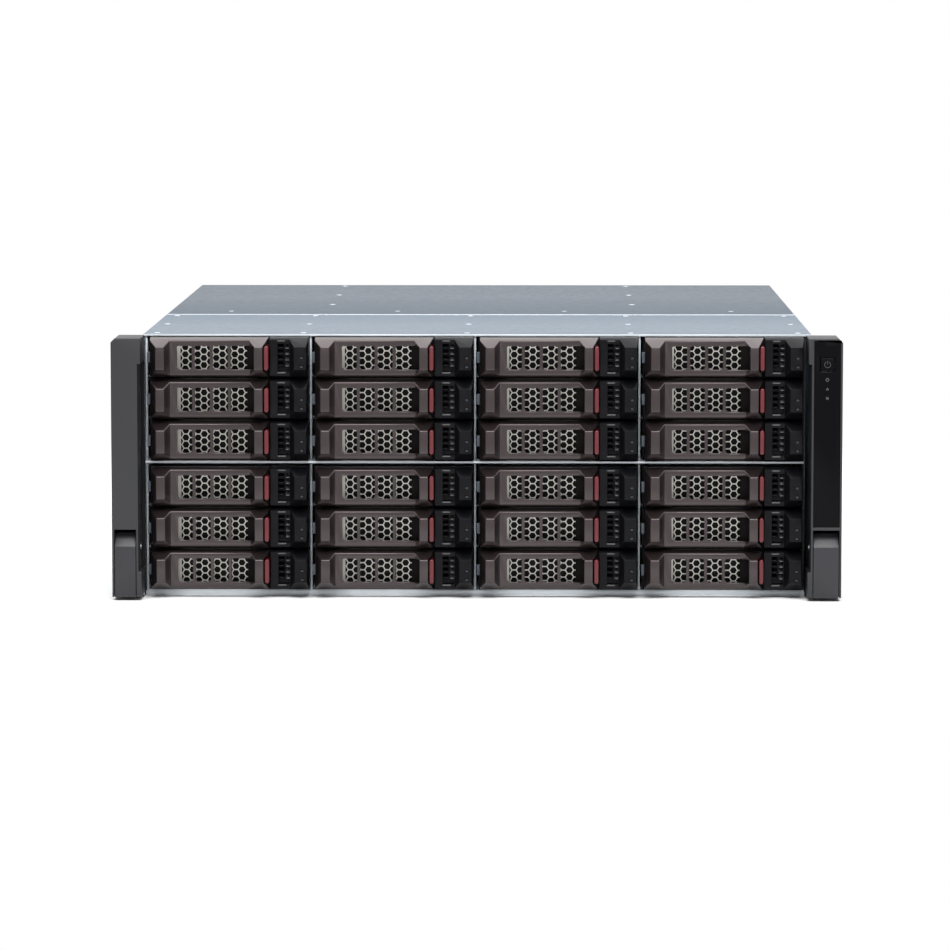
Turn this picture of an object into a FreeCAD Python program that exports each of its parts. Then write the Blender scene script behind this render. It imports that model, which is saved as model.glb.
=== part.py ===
import FreeCAD, Part
import math
import os
import Sketcher

# Four-unit rack disk shelf: 24 drive carriers in four columns and six rows.
# Frame: +X to the viewer's right, -Y out of the front, +Z up. The origin is
# the middle of the chassis footprint, on the bottom face. Millimetres.
#
# "Reach" is how far something stands in front of the chassis front plane.
# "Local" carrier coordinates start at the left edge of a carrier's face, at
# the chassis front plane, at the middle of the carrier's height.

# Driving dimensions: alias, value, meaning
DIMENSIONS = [
    ("SheetGauge", 1.2, "side walls and rear wall"),
    ("FloorGauge", 1.5, "chassis floor"),
    ("CoverGauge", 1.2, "both top covers"),
    ("DividerGauge", 1.4, "upright walls of the drive cage"),
    ("ShelfGauge", 2.0, "middle shelf of the drive cage"),
    ("ColumnPitch", 109.4, "from one cage wall to the next"),
    ("LeftGap", 0.5, "cage to left side wall"),
    ("CableChannel", 3.1, "cage to right side wall"),
    ("ChassisDepth", 550.0, "front plane to rear plane"),
    ("FrontCoverLength", 203.0, "front plane to the seam of the covers"),
    ("CageLength", 158.0, "front plane to the back of the cage"),
    ("LipHeight", 3.0, "hem along the front of the floor"),
    ("CoverLip", 1.4, "hem along the front of the top cover"),
    ("FloorSpace", 3.7, "floor to bottom row"),
    ("ShelfSpace", 1.0, "top of the lower rows to the middle shelf"),
    ("UpperSpace", 1.2, "middle shelf to the upper rows"),
    ("LidSpace", 0.4, "top row to the cover"),
    ("RowGap", 1.4, "between two carriers of one column"),
    ("RailSpace", 0.3, "carrier rail to the ledge under it"),
    ("LedgeWidth", 1.8, "guide ledge"),
    ("LedgeHeight", 0.8, "guide ledge"),
    ("FaceWidth", 105.0, "carrier face"),
    ("FaceHeight", 26.4, "carrier face"),
    ("FaceInset", 2.7, "cage wall to the carrier face on its left"),
    ("DriveWidth", 101.6, "3.5 inch drive"),
    ("DriveHeight", 26.1, "3.5 inch drive"),
    ("DriveLength", 147.0, "3.5 inch drive"),
    ("DriveSetback", 8.0, "front plane to the drive"),
    ("DriveSpace", 0.1, "drive to each rail"),
    ("RailGauge", 1.8, "carrier side rail"),
    ("RailLength", 157.0, "front plane to the end of the rails"),
    ("FrameFront", 2.0, "reach of the carrier's front frame"),
    ("FrameBack", 3.0, "front frame behind the front plane"),
    ("VentStart", 16.0, "air opening of the front frame"),
    ("VentWidth", 47.6, "air opening of the front frame"),
    ("VentHeight", 18.0, "air opening of the front frame"),
    ("ScreenGauge", 0.8, "screen over the air opening"),
    ("ScreenLap", 1.2, "screen past each edge of the opening"),
    ("LeverLength", 78.6, "carrier lever"),
    ("RidgeReach", 22.0, "ridges of lever and latch block"),
    ("PanelReach", 15.0, "recessed panel of the lever"),
    ("BevelReach", 12.0, "where the long bevels start"),
    ("RimReach", 9.0, "rear rim of the lever"),
    ("BevelRise", 5.7, "height that each long bevel takes"),
    ("RidgeFlank", 4.0, "left flank of the lever's left ridge"),
    ("RidgeWidth", 5.7, "front of each lever ridge"),
    ("InnerFlank", 3.5, "flanks beside the recessed panel"),
    ("PanelLength", 52.6, "recessed panel between its flanks"),
    ("EndFlank", 3.7, "right flank of the lever"),
    ("LeverWall", 1.6, "wall of the hollow lever"),
    ("WindowStart", 17.9, "first window of the lever"),
    ("WindowWidth", 9.8, "window of the lever"),
    ("WindowPitch", 11.9, "from window to window"),
    ("WindowHeight", 15.6, "window of the lever"),
    ("WindowCount", 3, "windows before the finger opening"),
    ("PivotInset", 7.0, "lever pivot from the face's left edge"),
    ("PivotReach", 13.0, "lever pivot"),
    ("PinRadius", 1.1, "lever pivot pin, to its flats"),
    ("PinSpace", 0.05, "axle or pin to its bore, radial"),
    ("KnuckleHeight", 6.0, "lever knuckle on the pin"),
    ("KnuckleWidth", 4.6, "lever knuckle round the pin"),
    ("LugSpace", 0.3, "knuckle to each lug"),
    ("LugHeight", 3.0, "each lug"),
    ("HookLength", 2.2, "metal hook at the lever's left end"),
    ("HookHeight", 7.2, "metal hook"),
    ("ButtonWidth", 3.0, "release button"),
    ("ButtonHeight", 16.0, "release button"),
    ("ButtonSpace", 0.5, "release button to the lever"),
    ("BlockFlank", 3.3, "flank of the latch block's ridge"),
    ("BlockRidge", 7.9, "front of the latch block's ridge"),
    ("BlockEnd", 1.2, "right flank of the latch block"),
    ("BlockStart", 0.6, "release button to the latch block"),
    ("BlockPanel", 14.0, "reach of the latch block's panel"),
    ("LugFoot", 3.0, "lug where it leaves the front frame"),
    ("LugOffset", 0.6, "left side of the lug's foot before the pivot"),
    ("LugMargin", 0.65, "lug round the pin"),
    ("BackplaneSpace", 2.0, "rails to the backplane"),
    ("BackplaneGauge", 2.4, "backplane board"),
    ("ConnectorWidth", 42.0, "drive connector on the backplane"),
    ("ConnectorHeight", 6.4, "drive connector on the backplane"),
    ("ConnectorSpace", 0.3, "connector to the drive at rest"),
    ("FanSize", 120.0, "fan frame"),
    ("FanDepth", 38.0, "fan frame"),
    ("FanBore", 57.0, "radius of a fan's bore"),
    ("FanHub", 22.0, "radius of a fan's hub"),
    ("FanSetback", 208.0, "front plane to the fans"),
    ("FanPitch", 140.0, "fan to fan"),
    ("FanArm", 4.0, "struts that hold a fan's hub"),
    ("ModuleLength", 236.0, "rear modules"),
    ("ModuleSpace", 0.3, "module to its bay"),
    ("ModuleWall", 2.5, "wall of a rear module"),
    ("HandleReach", 20.0, "module handle behind the rear wall"),
    ("HandleLength", 62.0, "module handle"),
    ("HandleBar", 5.0, "legs and bar of a module handle"),
    ("HandleWidth", 9.0, "height of a module handle"),
    ("HandleInset", 16.0, "module handle from the module's +X end"),
    ("InletWidth", 27.0, "mains inlet of a power supply"),
    ("InletHeight", 20.0, "mains inlet of a power supply"),
    ("PortWidth", 16.0, "cable port of an expander module"),
    ("PortHeight", 9.0, "cable port of an expander module"),
    ("PortPitch", 22.0, "from port to port"),
    ("SocketInset", 12.0, "inlet or first port from the module's -X end"),
    ("RearBorder", 9.0, "rear wall round the module bays"),
    ("RearPost", 8.0, "rear wall between the module bays"),
    ("EarWidth", 18.8, "rack ear beside the chassis wall"),
    ("EarReach", 31.3, "front of the ears"),
    ("EarBottom", 2.3, "foot of the ears above the chassis bottom"),
    ("EarHeight", 171.9, "ears"),
    ("EarWall", 1.4, "wall of the hollow ears"),
    ("LeftEarOverlap", 0.7, "left ear's inner side past the chassis wall"),
    ("RightEarOverlap", 3.6, "right ear's inner side past the chassis wall"),
    ("EarStep", 2.1, "wider foot and head of the ear's inner edge"),
    ("EarSpace", 0.3, "ear to the hems of cover and floor"),
    ("CrossbarHeight", 2.0, "bar of the right ear over its latch"),
    ("EarHead", 17.0, "head of the ear's inner edge"),
    ("EarChamfer", 2.7, "top outer corner of the ears"),
    ("FlangeGauge", 2.0, "rack flange"),
    ("RackSpacing", 465.1, "rack holes, left to right"),
    ("RackRise", 133.35, "rack holes, three units"),
    ("RackHoleHeight", 20.8, "lower rack holes above the bottom"),
    ("RackHoleRadius", 3.5, "rack holes"),
    ("LatchHeight", 45.0, "latch opening of the ears"),
    ("LatchSpace", 0.4, "latch to the ear on each side"),
    ("LatchTop", 2.6, "finger gap over the latch"),
    ("LatchWall", 2.2, "wall of the latch"),
    ("LatchGrip", 8.7, "slanted grip of the latch"),
    ("LatchSetback", 6.5, "how far the grip slants back"),
    ("AxleRadius", 1.5, "latch axle"),
    ("AxleInset", 4.3, "latch axle behind the latch's face"),
    ("AxleHeight", 4.0, "latch axle above the latch's foot"),
    ("AxleCap", 0.56, "ear wall left outside each end of the latch axle"),
    ("PanelGauge", 2.0, "gloss panel of the right ear"),
    ("PanelSetback", 0.5, "gloss panel behind the ear's face"),
    ("PowerSize", 9.2, "power button"),
    ("PowerSpace", 0.3, "power button to the panel"),
    ("PowerHeight", 157.2, "power button's centre above the chassis bottom"),
    ("PowerLength", 9.0, "power button, front to back"),
]

COLUMNS = 4
ROWS = 6
ROWS_BELOW = 3
BORE_SIDES = 8
PORTS = 4

DOC = FreeCAD.newDocument("disk_shelf")
SHEET = DOC.addObject("Spreadsheet::Sheet", "Sizes")


class Size:
    """A length with its value and the spreadsheet formula it comes from."""

    def __init__(self, value, text):
        self.value = value
        self.text = text

    def __add__(self, other):
        other = size(other)
        return Size(self.value + other.value, f"({self.text} + {other.text})")

    def __sub__(self, other):
        other = size(other)
        return Size(self.value - other.value, f"({self.text} - {other.text})")

    def __mul__(self, other):
        other = size(other)
        return Size(self.value * other.value, f"({self.text} * {other.text})")

    def __truediv__(self, other):
        other = size(other)
        return Size(self.value / other.value, f"({self.text} / {other.text})")

    def __neg__(self):
        return Size(-self.value, f"(-{self.text})")

    def __radd__(self, other):
        return size(other) + self

    def __rsub__(self, other):
        return size(other) - self

    def __rmul__(self, other):
        return size(other) * self


def size(value):
    """Turns a plain number into a Size."""
    if isinstance(value, Size):
        return value
    return Size(float(value), f"({float(value)})")


def fill_sheet():
    """Writes the driving dimensions to the sheet and returns them by alias."""
    found = {}
    for row, (alias, value, meaning) in enumerate(DIMENSIONS, start=1):
        SHEET.set(f"A{row}", alias)
        SHEET.set(f"B{row}", str(value))
        SHEET.set(f"C{row}", meaning)
        SHEET.setAlias(f"B{row}", alias)
        found[alias] = Size(float(value), f"Sizes.{alias}")
    DOC.recompute()
    return found


D = fill_sheet()
AXES = {"X": FreeCAD.Vector(1, 0, 0), "Y": FreeCAD.Vector(0, 1, 0), "Z": FreeCAD.Vector(0, 0, 1)}
# A sketch's own x and y lie along the two letters of its plane.
PLANES = {
    "XY": FreeCAD.Rotation(),
    "XZ": FreeCAD.Rotation(AXES["X"], 90),
    "YZ": FreeCAD.Rotation(FreeCAD.Vector(1, 1, 1), 120),
}
NORMALS = {"XY": "Z", "XZ": "Y", "YZ": "X"}
NODES = []


def place(thing, x=0, y=0, z=0):
    """Puts an object at x, y, z, bound to the sheet."""
    for axis, value in zip("xyz", (x, y, z)):
        thing.setExpression(f"Placement.Base.{axis}", size(value).text)


def box(name, low, high):
    """A box between two corners."""
    thing = DOC.addObject("Part::Box", name)
    for side, a, b in zip(("Length", "Width", "Height"), low, high):
        thing.setExpression(side, (size(b) - size(a)).text)
    place(thing, *low)
    return thing


def cylinder(name, axis, start, radius, length):
    """A cylinder from start along +axis."""
    thing = DOC.addObject("Part::Cylinder", name)
    turn = FreeCAD.Rotation(AXES["Z"], AXES[axis])
    thing.Placement = FreeCAD.Placement(FreeCAD.Vector(), turn)
    thing.setExpression("Radius", size(radius).text)
    thing.setExpression("Height", size(length).text)
    place(thing, *start)
    return thing


def bind(sketch, edge, spot, kind, value):
    """Fixes one coordinate of a point of a sketch to the sheet."""
    n = sketch.addConstraint(Sketcher.Constraint(kind, -1, 1, edge, spot, value.value))
    sketch.setExpression(f"Constraints[{n}]", value.text)


def outline(sketch, points, arc=None):
    """Draws a closed outline whose corners are bound to the sheet.

    arc is a centre's x and y: the last edge, which runs along x, is then an arc about it.
    """
    points = [(size(a), size(b)) for a, b in points]
    spots = [FreeCAD.Vector(a.value, b.value, 0) for a, b in points]
    last = len(spots) - 1
    for start, end in zip(spots[:last], spots[1:]):
        sketch.addGeometry(Part.LineSegment(start, end), False)
    if arc is None:
        sketch.addGeometry(Part.LineSegment(spots[last], spots[0]), False)
    else:
        middle = FreeCAD.Vector(size(arc[0]).value, size(arc[1]).value, 0)
        turns = [math.atan2((spot - middle).y, (spot - middle).x) for spot in (spots[last], spots[0])]
        circle = Part.Circle(middle, AXES["Z"], (spots[0] - middle).Length)
        sketch.addGeometry(Part.ArcOfCircle(circle, *turns), False)
        bind(sketch, last, 3, "DistanceY", size(arc[1]))
    for i in range(len(spots)):
        sketch.addConstraint(Sketcher.Constraint("Coincident", i, 2, (i + 1) % len(spots), 1))
    for i, corner in enumerate(points):
        for kind, value in zip(("DistanceX", "DistanceY"), corner):
            bind(sketch, i, 1, kind, value)


def prism(name, plane, points, start, end):
    """An outline on a plane, extruded along the plane's normal axis."""
    sketch = DOC.addObject("Sketcher::SketchObject", name + "_outline")
    sketch.Placement = FreeCAD.Placement(FreeCAD.Vector(), PLANES[plane])
    normal = NORMALS[plane]
    sketch.setExpression(f"Placement.Base.{normal.lower()}", size(start).text)
    outline(sketch, points)
    thing = DOC.addObject("Part::Extrusion", name)
    thing.Base = sketch
    thing.DirMode = "Custom"
    thing.Dir = AXES[normal]
    thing.Solid = True
    thing.setExpression("LengthFwd", (size(end) - size(start)).text)
    return thing


def fuse(name, things):
    """One solid from several."""
    thing = DOC.addObject("Part::MultiFuse", name)
    thing.Shapes = things
    thing.Refine = True
    return thing


def cut(name, base, tools):
    """Takes tools away from base."""
    thing = DOC.addObject("Part::Cut", name)
    thing.Base = base
    thing.Tool = tools[0] if len(tools) == 1 else group(name + "_tools", tools)
    thing.Refine = True
    return thing


def common(name, a, b):
    """What two solids share."""
    thing = DOC.addObject("Part::Common", name)
    thing.Base = a
    thing.Tool = b
    thing.Refine = True
    return thing


def group(name, things):
    """Several solids side by side."""
    thing = DOC.addObject("Part::Compound", name)
    thing.Links = things
    return thing


def node(label, things, x=0, y=0, z=0):
    """A named sub-part of the shelf, put in its place."""
    thing = group(label, things)
    thing.Label = label
    place(thing, x, y, z)
    NODES.append(thing)
    return thing


# Places worked out from the driving dimensions

CAGE_WIDTH = D["ColumnPitch"] * COLUMNS + D["DividerGauge"]
WIDTH = CAGE_WIDTH + D["LeftGap"] + D["CableChannel"] + D["SheetGauge"] * 2
HALF_WIDTH = WIDTH / 2
FRONT = -D["ChassisDepth"] / 2
REAR = D["ChassisDepth"] / 2
ROW_PITCH = D["FaceHeight"] + D["RowGap"]
HALF_FACE = D["FaceHeight"] / 2
LOWER_TOP = D["FloorGauge"] + D["FloorSpace"] + D["FaceHeight"] * ROWS_BELOW + D["RowGap"] * (ROWS_BELOW - 1)
SHELF_BOTTOM = LOWER_TOP + D["ShelfSpace"]
SHELF_TOP = SHELF_BOTTOM + D["ShelfGauge"]
ROWS_ABOVE = ROWS - ROWS_BELOW
UPPER_BOTTOM = SHELF_TOP + D["UpperSpace"]
UPPER_TOP = UPPER_BOTTOM + D["FaceHeight"] * ROWS_ABOVE + D["RowGap"] * (ROWS_ABOVE - 1)
COVER_BOTTOM = UPPER_TOP + D["LidSpace"]
HEIGHT = COVER_BOTTOM + D["CoverGauge"]
FIRST_WALL = -HALF_WIDTH + D["SheetGauge"] + D["LeftGap"] + D["DividerGauge"] / 2
HEM_LEFT = -HALF_WIDTH + D["LeftEarOverlap"] + D["EarSpace"]
HEM_RIGHT = HALF_WIDTH - D["RightEarOverlap"] - D["EarSpace"]
EAR_OUTER = HALF_WIDTH + D["EarWidth"]
EAR_TOP = D["EarBottom"] + D["EarHeight"]
EAR_FACE = FRONT - D["EarReach"]
LATCH_HIGH = D["EarBottom"] + D["LatchHeight"]


def wall_x(index):
    """Middle of a cage wall, 0 at the far left."""
    return FIRST_WALL + D["ColumnPitch"] * index


def row_z(row):
    """Middle of a row, row 1 at the top."""
    above = ROWS - row
    if above < ROWS_BELOW:
        return D["FloorGauge"] + D["FloorSpace"] + HALF_FACE + ROW_PITCH * above
    return UPPER_BOTTOM + HALF_FACE + ROW_PITCH * (above - ROWS_BELOW)


def column_x(column):
    """Left edge of a carrier face, column 1 at the left."""
    return wall_x(column - 1) + D["DividerGauge"] / 2 + D["FaceInset"]


# Carrier lever: a hollow H-shaped moulding with two ridges, a recessed panel
# with windows, a finger opening behind the right ridge and a knuckle inside
# the left one.

PANEL_LEFT = D["RidgeFlank"] + D["RidgeWidth"] + D["InnerFlank"]
PANEL_RIGHT = PANEL_LEFT + D["PanelLength"]
GRIP_LEFT = PANEL_RIGHT + D["InnerFlank"]
GRIP_RIGHT = D["LeverLength"] - D["EndFlank"]
BUTTON_LEFT = GRIP_RIGHT + D["ButtonSpace"] * 2
RIDGE_TOP = HALF_FACE - D["BevelRise"]


def body_sketch(body, role, name, points, arc=None):
    """A sketch on one of a body's own origin planes."""
    sketch = body.newObject("Sketcher::SketchObject", name)
    plane = [f for f in body.Origin.OriginFeatures if f.Role == role][0]
    sketch.AttachmentSupport = [(plane, "")]
    sketch.MapMode = "FlatFace"
    outline(sketch, points, arc)
    return sketch


def body_feature(body, kind, name, sketch, length=None):
    """A pad or pocket to both sides of its sketch, through everything if no length is given."""
    feature = body.newObject(kind, name)
    feature.Profile = sketch
    feature.SideType = "Symmetric"
    if length is None:
        feature.Type = "ThroughAll"
    else:
        feature.setExpression("Length", length.text)
    sketch.Visibility = False
    return feature


def rectangle(low, high):
    """The corners of a rectangle."""
    return [(low[0], low[1]), (high[0], low[1]), (high[0], high[1]), (low[0], high[1])]


def flat_sided(middle, inscribed):
    """The corners of a regular outline whose flats touch a circle."""
    radius = inscribed / math.cos(math.pi / BORE_SIDES)
    turns = [2 * math.pi * (i + 0.5) / BORE_SIDES for i in range(BORE_SIDES)]
    return [(middle[0] + radius * math.cos(a), middle[1] + radius * math.sin(a)) for a in turns]


def lever_body():
    """The lever's moulding, in local carrier coordinates."""
    body = DOC.addObject("PartDesign::Body", "lever_moulding")
    plan = body_sketch(body, "XY_Plane", "lever_plan", [
        (0, -D["RimReach"]),
        (0, -D["PanelReach"]),
        (D["RidgeFlank"], -D["RidgeReach"]),
        (D["RidgeFlank"] + D["RidgeWidth"], -D["RidgeReach"]),
        (PANEL_LEFT, -D["PanelReach"]),
        (PANEL_RIGHT, -D["PanelReach"]),
        (GRIP_LEFT, -D["RidgeReach"]),
        (GRIP_RIGHT, -D["RidgeReach"]),
        (D["LeverLength"], -D["BevelReach"]),
        (D["LeverLength"], -D["RimReach"]),
    ])
    body_feature(body, "PartDesign::Pad", "lever_block", plan, D["FaceHeight"])
    for side, name in ((1, "top"), (-1, "bottom")):
        wedge = body_sketch(body, "YZ_Plane", f"lever_{name}_bevel_side", [
            (-D["BevelReach"], HALF_FACE * side),
            (-D["RidgeReach"], RIDGE_TOP * side),
            (-D["RidgeReach"] - D["LeverWall"], RIDGE_TOP * side),
            (-D["RidgeReach"] - D["LeverWall"], (HALF_FACE + D["LeverWall"]) * side),
            (-D["BevelReach"], (HALF_FACE + D["LeverWall"]) * side),
        ])
        body_feature(body, "PartDesign::Pocket", f"lever_{name}_bevel", wedge, D["LeverLength"] * 2)
    hollow_front = D["PanelReach"] - D["LeverWall"]
    back = D["RimReach"] - D["LeverWall"]
    wall = D["LeverWall"]
    hollow = body_sketch(body, "XY_Plane", "lever_hollow_plan", rectangle(
        (wall, -hollow_front), (D["LeverLength"] - wall, -back)))
    body_feature(body, "PartDesign::Pocket", "lever_hollow", hollow, D["FaceHeight"] - wall * 3)
    ridge_front = D["RidgeReach"] - wall
    flank = wall / 2
    core = body_sketch(body, "XY_Plane", "lever_ridge_plan", [
        (D["RidgeFlank"] - wall, -hollow_front + wall),
        (D["RidgeFlank"] - wall, -hollow_front),
        (D["RidgeFlank"] + flank, -ridge_front),
        (D["RidgeFlank"] + D["RidgeWidth"] - flank, -ridge_front),
        (PANEL_LEFT - wall, -hollow_front),
        (PANEL_LEFT - wall, -hollow_front + wall),
    ])
    body_feature(body, "PartDesign::Pocket", "lever_ridge_hollow", core, (RIDGE_TOP - flank) * 2)
    window = body_sketch(body, "XZ_Plane", "lever_window_outline", rectangle(
        (D["WindowStart"], -D["WindowHeight"] / 2),
        (D["WindowStart"] + D["WindowWidth"], D["WindowHeight"] / 2)))
    windows = body_feature(body, "PartDesign::Pocket", "lever_window", window)
    row = body.newObject("PartDesign::LinearPattern", "lever_windows")
    row.Originals = [windows]
    row.Direction = (window, ["H_Axis"])
    row.setExpression("Length", (D["WindowPitch"] * (D["WindowCount"] - 1)).text)
    row.setExpression("Occurrences", D["WindowCount"].text)
    body.Tip = row
    grip_start = D["WindowStart"] + D["WindowPitch"] * D["WindowCount"]
    finger = body_sketch(body, "XZ_Plane", "lever_finger_outline", rectangle(
        (grip_start, -D["WindowHeight"] / 2), (GRIP_LEFT, D["WindowHeight"] / 2)))
    body_feature(body, "PartDesign::Pocket", "lever_finger_opening", finger)
    notch = body_sketch(body, "XZ_Plane", "lever_notch_outline", rectangle(
        (GRIP_RIGHT + D["ButtonSpace"], -D["ButtonHeight"] / 2 - D["ButtonSpace"]),
        (D["LeverLength"] + wall, D["ButtonHeight"] / 2 + D["ButtonSpace"])))
    body_feature(body, "PartDesign::Pocket", "lever_button_notch", notch)
    half = D["KnuckleWidth"] / 2
    knuckle = body_sketch(body, "XY_Plane", "lever_knuckle_plan", [
        (D["PivotInset"] - half, -D["PivotReach"] + half),
        (D["PivotInset"] - half, -D["RidgeReach"] + wall / 2),
        (D["PivotInset"] + half, -D["RidgeReach"] + wall / 2),
        (D["PivotInset"] + half, -D["PivotReach"] + half),
    ], (D["PivotInset"], -D["PivotReach"]))
    body_feature(body, "PartDesign::Pad", "lever_knuckle", knuckle, D["KnuckleHeight"])
    pin_corner = D["PinRadius"] / math.cos(math.pi / BORE_SIDES)
    bore = body_sketch(body, "XY_Plane", "lever_bore_plan", flat_sided(
        (D["PivotInset"], -D["PivotReach"]), pin_corner + D["PinSpace"]))
    body_feature(body, "PartDesign::Pocket", "lever_bore", bore, D["KnuckleHeight"] + wall)
    return body


def lever_hook():
    """The metal hook that shows between the lever and the cage wall."""
    half = D["HookHeight"] / 2
    return box("lever_hook", (-D["HookLength"], -D["BevelReach"], -half), (0, -D["RimReach"], half))


# Drive carrier: a moulded front frame with hinge lugs, pin and latch block,
# two rails, the screen, the release button and the drive itself.

TRAY_MIDDLE = -D["FaceInset"] + (D["ColumnPitch"] - D["DividerGauge"]) / 2
DRIVE_LEFT = TRAY_MIDDLE - D["DriveWidth"] / 2


def rail(name, low):
    """One side rail from its inner or outer side at low; its foot runs on the cage's ledges."""
    return box(name, (low, D["FrameBack"], -HALF_FACE), (low + D["RailGauge"], D["RailLength"], HALF_FACE))


def hinge_lug(side, name):
    """A lug above or below the knuckle; its foot stays clear of the swinging lever."""
    radius = D["PinRadius"] + D["LugMargin"]
    near = D["KnuckleHeight"] / 2 + D["LugSpace"]
    far = near + D["LugHeight"]
    foot = D["PivotInset"] - D["LugOffset"]
    points = [(foot, -D["FrameFront"] / 2), (foot + D["LugFoot"], -D["FrameFront"] / 2),
              (D["PivotInset"] + radius, -D["PivotReach"] - radius),
              (D["PivotInset"] - radius, -D["PivotReach"] - radius)]
    if side > 0:
        return prism(name, "XY", points, near, far)
    return prism(name, "XY", points, -far, -near)


def carrier_frame():
    """The moulded front frame with its air opening, lugs, pin and latch block."""
    plate = box("frame_plate", (0, -D["FrameFront"], -HALF_FACE),
                (D["FaceWidth"], D["FrameBack"], HALF_FACE))
    opening = box("frame_opening",
                  (D["VentStart"], -D["RidgeReach"], -D["VentHeight"] / 2),
                  (D["VentStart"] + D["VentWidth"], D["FrameBack"] * 2, D["VentHeight"] / 2))
    floor_start = D["VentStart"] + D["VentWidth"]
    floor = box("frame_finger_floor",
                (floor_start, -D["FrameFront"] - D["FrameBack"], -D["VentHeight"] / 2),
                (GRIP_RIGHT, -D["FrameFront"] / 2, D["VentHeight"] / 2))
    start = BUTTON_LEFT + D["ButtonWidth"] + D["BlockStart"]
    ridge_end = D["FaceWidth"] - D["BlockEnd"]
    ridge_start = ridge_end - D["BlockRidge"]
    block = prism("block_plan", "XY", [
        (start, -D["FrameFront"] / 2), (start, -D["BlockPanel"]),
        (ridge_start - D["BlockFlank"], -D["BlockPanel"]), (ridge_start, -D["RidgeReach"]),
        (ridge_end, -D["RidgeReach"]), (D["FaceWidth"], -D["BevelReach"]),
        (D["FaceWidth"], -D["FrameFront"] / 2)], -HALF_FACE, HALF_FACE)
    bevels = prism("block_side", "YZ", [
        (0, -HALF_FACE), (0, HALF_FACE), (-D["BevelReach"], HALF_FACE), (-D["RidgeReach"], RIDGE_TOP),
        (-D["RidgeReach"], -RIDGE_TOP), (-D["BevelReach"], -HALF_FACE)], 0, D["FaceWidth"])
    pin_end = D["KnuckleHeight"] / 2 + D["LugSpace"] * 2
    corners = flat_sided((D["PivotInset"], -D["PivotReach"]), D["PinRadius"])
    pin = prism("hinge_pin", "XY", corners, -pin_end, pin_end)
    pieces = [cut("frame_open", plate, [opening]), floor, common("latch_block", block, bevels),
              hinge_lug(1, "upper_lug"), hinge_lug(-1, "lower_lug"), pin]
    return fuse("carrier_front", pieces)


def release_button():
    """The upright release button beside the lever."""
    half = D["ButtonHeight"] / 2
    return box("release_button", (BUTTON_LEFT, -D["RidgeReach"], -half),
               (BUTTON_LEFT + D["ButtonWidth"], -D["FrameFront"], half))


def carrier_pieces():
    """All the solids of one carrier, in local coordinates."""
    screen = box("screen",
                 (D["VentStart"] - D["ScreenLap"], -D["FrameFront"] - D["ScreenGauge"],
                  -D["VentHeight"] / 2 - D["ScreenLap"]),
                 (D["VentStart"] + D["VentWidth"], -D["FrameFront"],
                  D["VentHeight"] / 2 + D["ScreenLap"]))
    half_drive = D["DriveHeight"] / 2
    drive = box("drive", (DRIVE_LEFT, D["DriveSetback"], -half_drive),
                (DRIVE_LEFT + D["DriveWidth"], D["DriveSetback"] + D["DriveLength"], half_drive))
    left = rail("left_rail", DRIVE_LEFT - D["DriveSpace"] - D["RailGauge"])
    right = rail("right_rail", DRIVE_LEFT + D["DriveWidth"] + D["DriveSpace"])
    return [carrier_frame(), left, right, screen, release_button(), drive]


def carriers():
    """Every carrier and its lever, each a sub-part of its own."""
    lever = [lever_body(), lever_hook()]
    carrier = carrier_pieces()
    for row in range(1, ROWS + 1):
        for column in range(1, COLUMNS + 1):
            spot = (column_x(column), FRONT, row_z(row))
            node(f"drive_carrier_r{row}c{column}", carrier, *spot)
            node(f"carrier_lever_r{row}c{column}", lever, *spot)


# Drive cage: five upright walls above and below the middle shelf, with a
# guide ledge under each carrier.

def cage_wall(index, rows, bottom, top, name):
    """One upright wall and the ledges of its rows, on the sides that have bays."""
    x = wall_x(index)
    half = D["DividerGauge"] / 2
    tip = half + D["LedgeWidth"]
    back = FRONT + D["CageLength"]
    pieces = [box(name, (x - half, FRONT, bottom), (x + half, back, top))]
    sides = []
    if index > 0:
        sides.append(("left", x - tip, x - half))
    if index < COLUMNS:
        sides.append(("right", x + half, x + tip))
    for row in rows:
        over = row_z(row) - HALF_FACE - D["RailSpace"]
        for side, low, high in sides:
            pieces.append(box(f"{name}_{side}_ledge_{row}", (low, FRONT, over - D["LedgeHeight"]),
                              (high, back, over)))
    return pieces


def drive_cage():
    """The upright walls with their ledges, and the middle shelf."""
    back = FRONT + D["CageLength"]
    half = D["DividerGauge"] / 2
    pieces = [box("middle_shelf", (wall_x(0) - half, FRONT, SHELF_BOTTOM),
                  (wall_x(COLUMNS) + half, back, SHELF_TOP))]
    upper = range(1, ROWS_ABOVE + 1)
    lower = range(ROWS_ABOVE + 1, ROWS + 1)
    for index in range(COLUMNS + 1):
        pieces += cage_wall(index, upper, SHELF_TOP, COVER_BOTTOM, f"upper_wall_{index}")
        pieces += cage_wall(index, lower, D["FloorGauge"], SHELF_BOTTOM, f"lower_wall_{index}")
    node("drive_cage", pieces)


# Chassis: folded floor and side walls, rear wall with four module bays and
# the two rack flanges.

BAY_LOW = D["FloorGauge"] + D["RearBorder"]
BAY_HIGH = COVER_BOTTOM - D["RearBorder"]
BAY_SIDE = HALF_WIDTH - D["SheetGauge"] - D["RearBorder"]
BAY_MIDDLE = (BAY_LOW + BAY_HIGH) / 2


def bay_corners(left, upper):
    """Low and high x and z of a module bay in the rear wall."""
    x = (-BAY_SIDE, -D["RearPost"] / 2) if left else (D["RearPost"] / 2, BAY_SIDE)
    z = (BAY_MIDDLE + D["RearPost"] / 2, BAY_HIGH) if upper else (BAY_LOW, BAY_MIDDLE - D["RearPost"] / 2)
    return x, z


MODULE_BAYS = [("lower_left", True, False), ("lower_right", False, False),
               ("upper_left", True, True), ("upper_right", False, True)]


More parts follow.
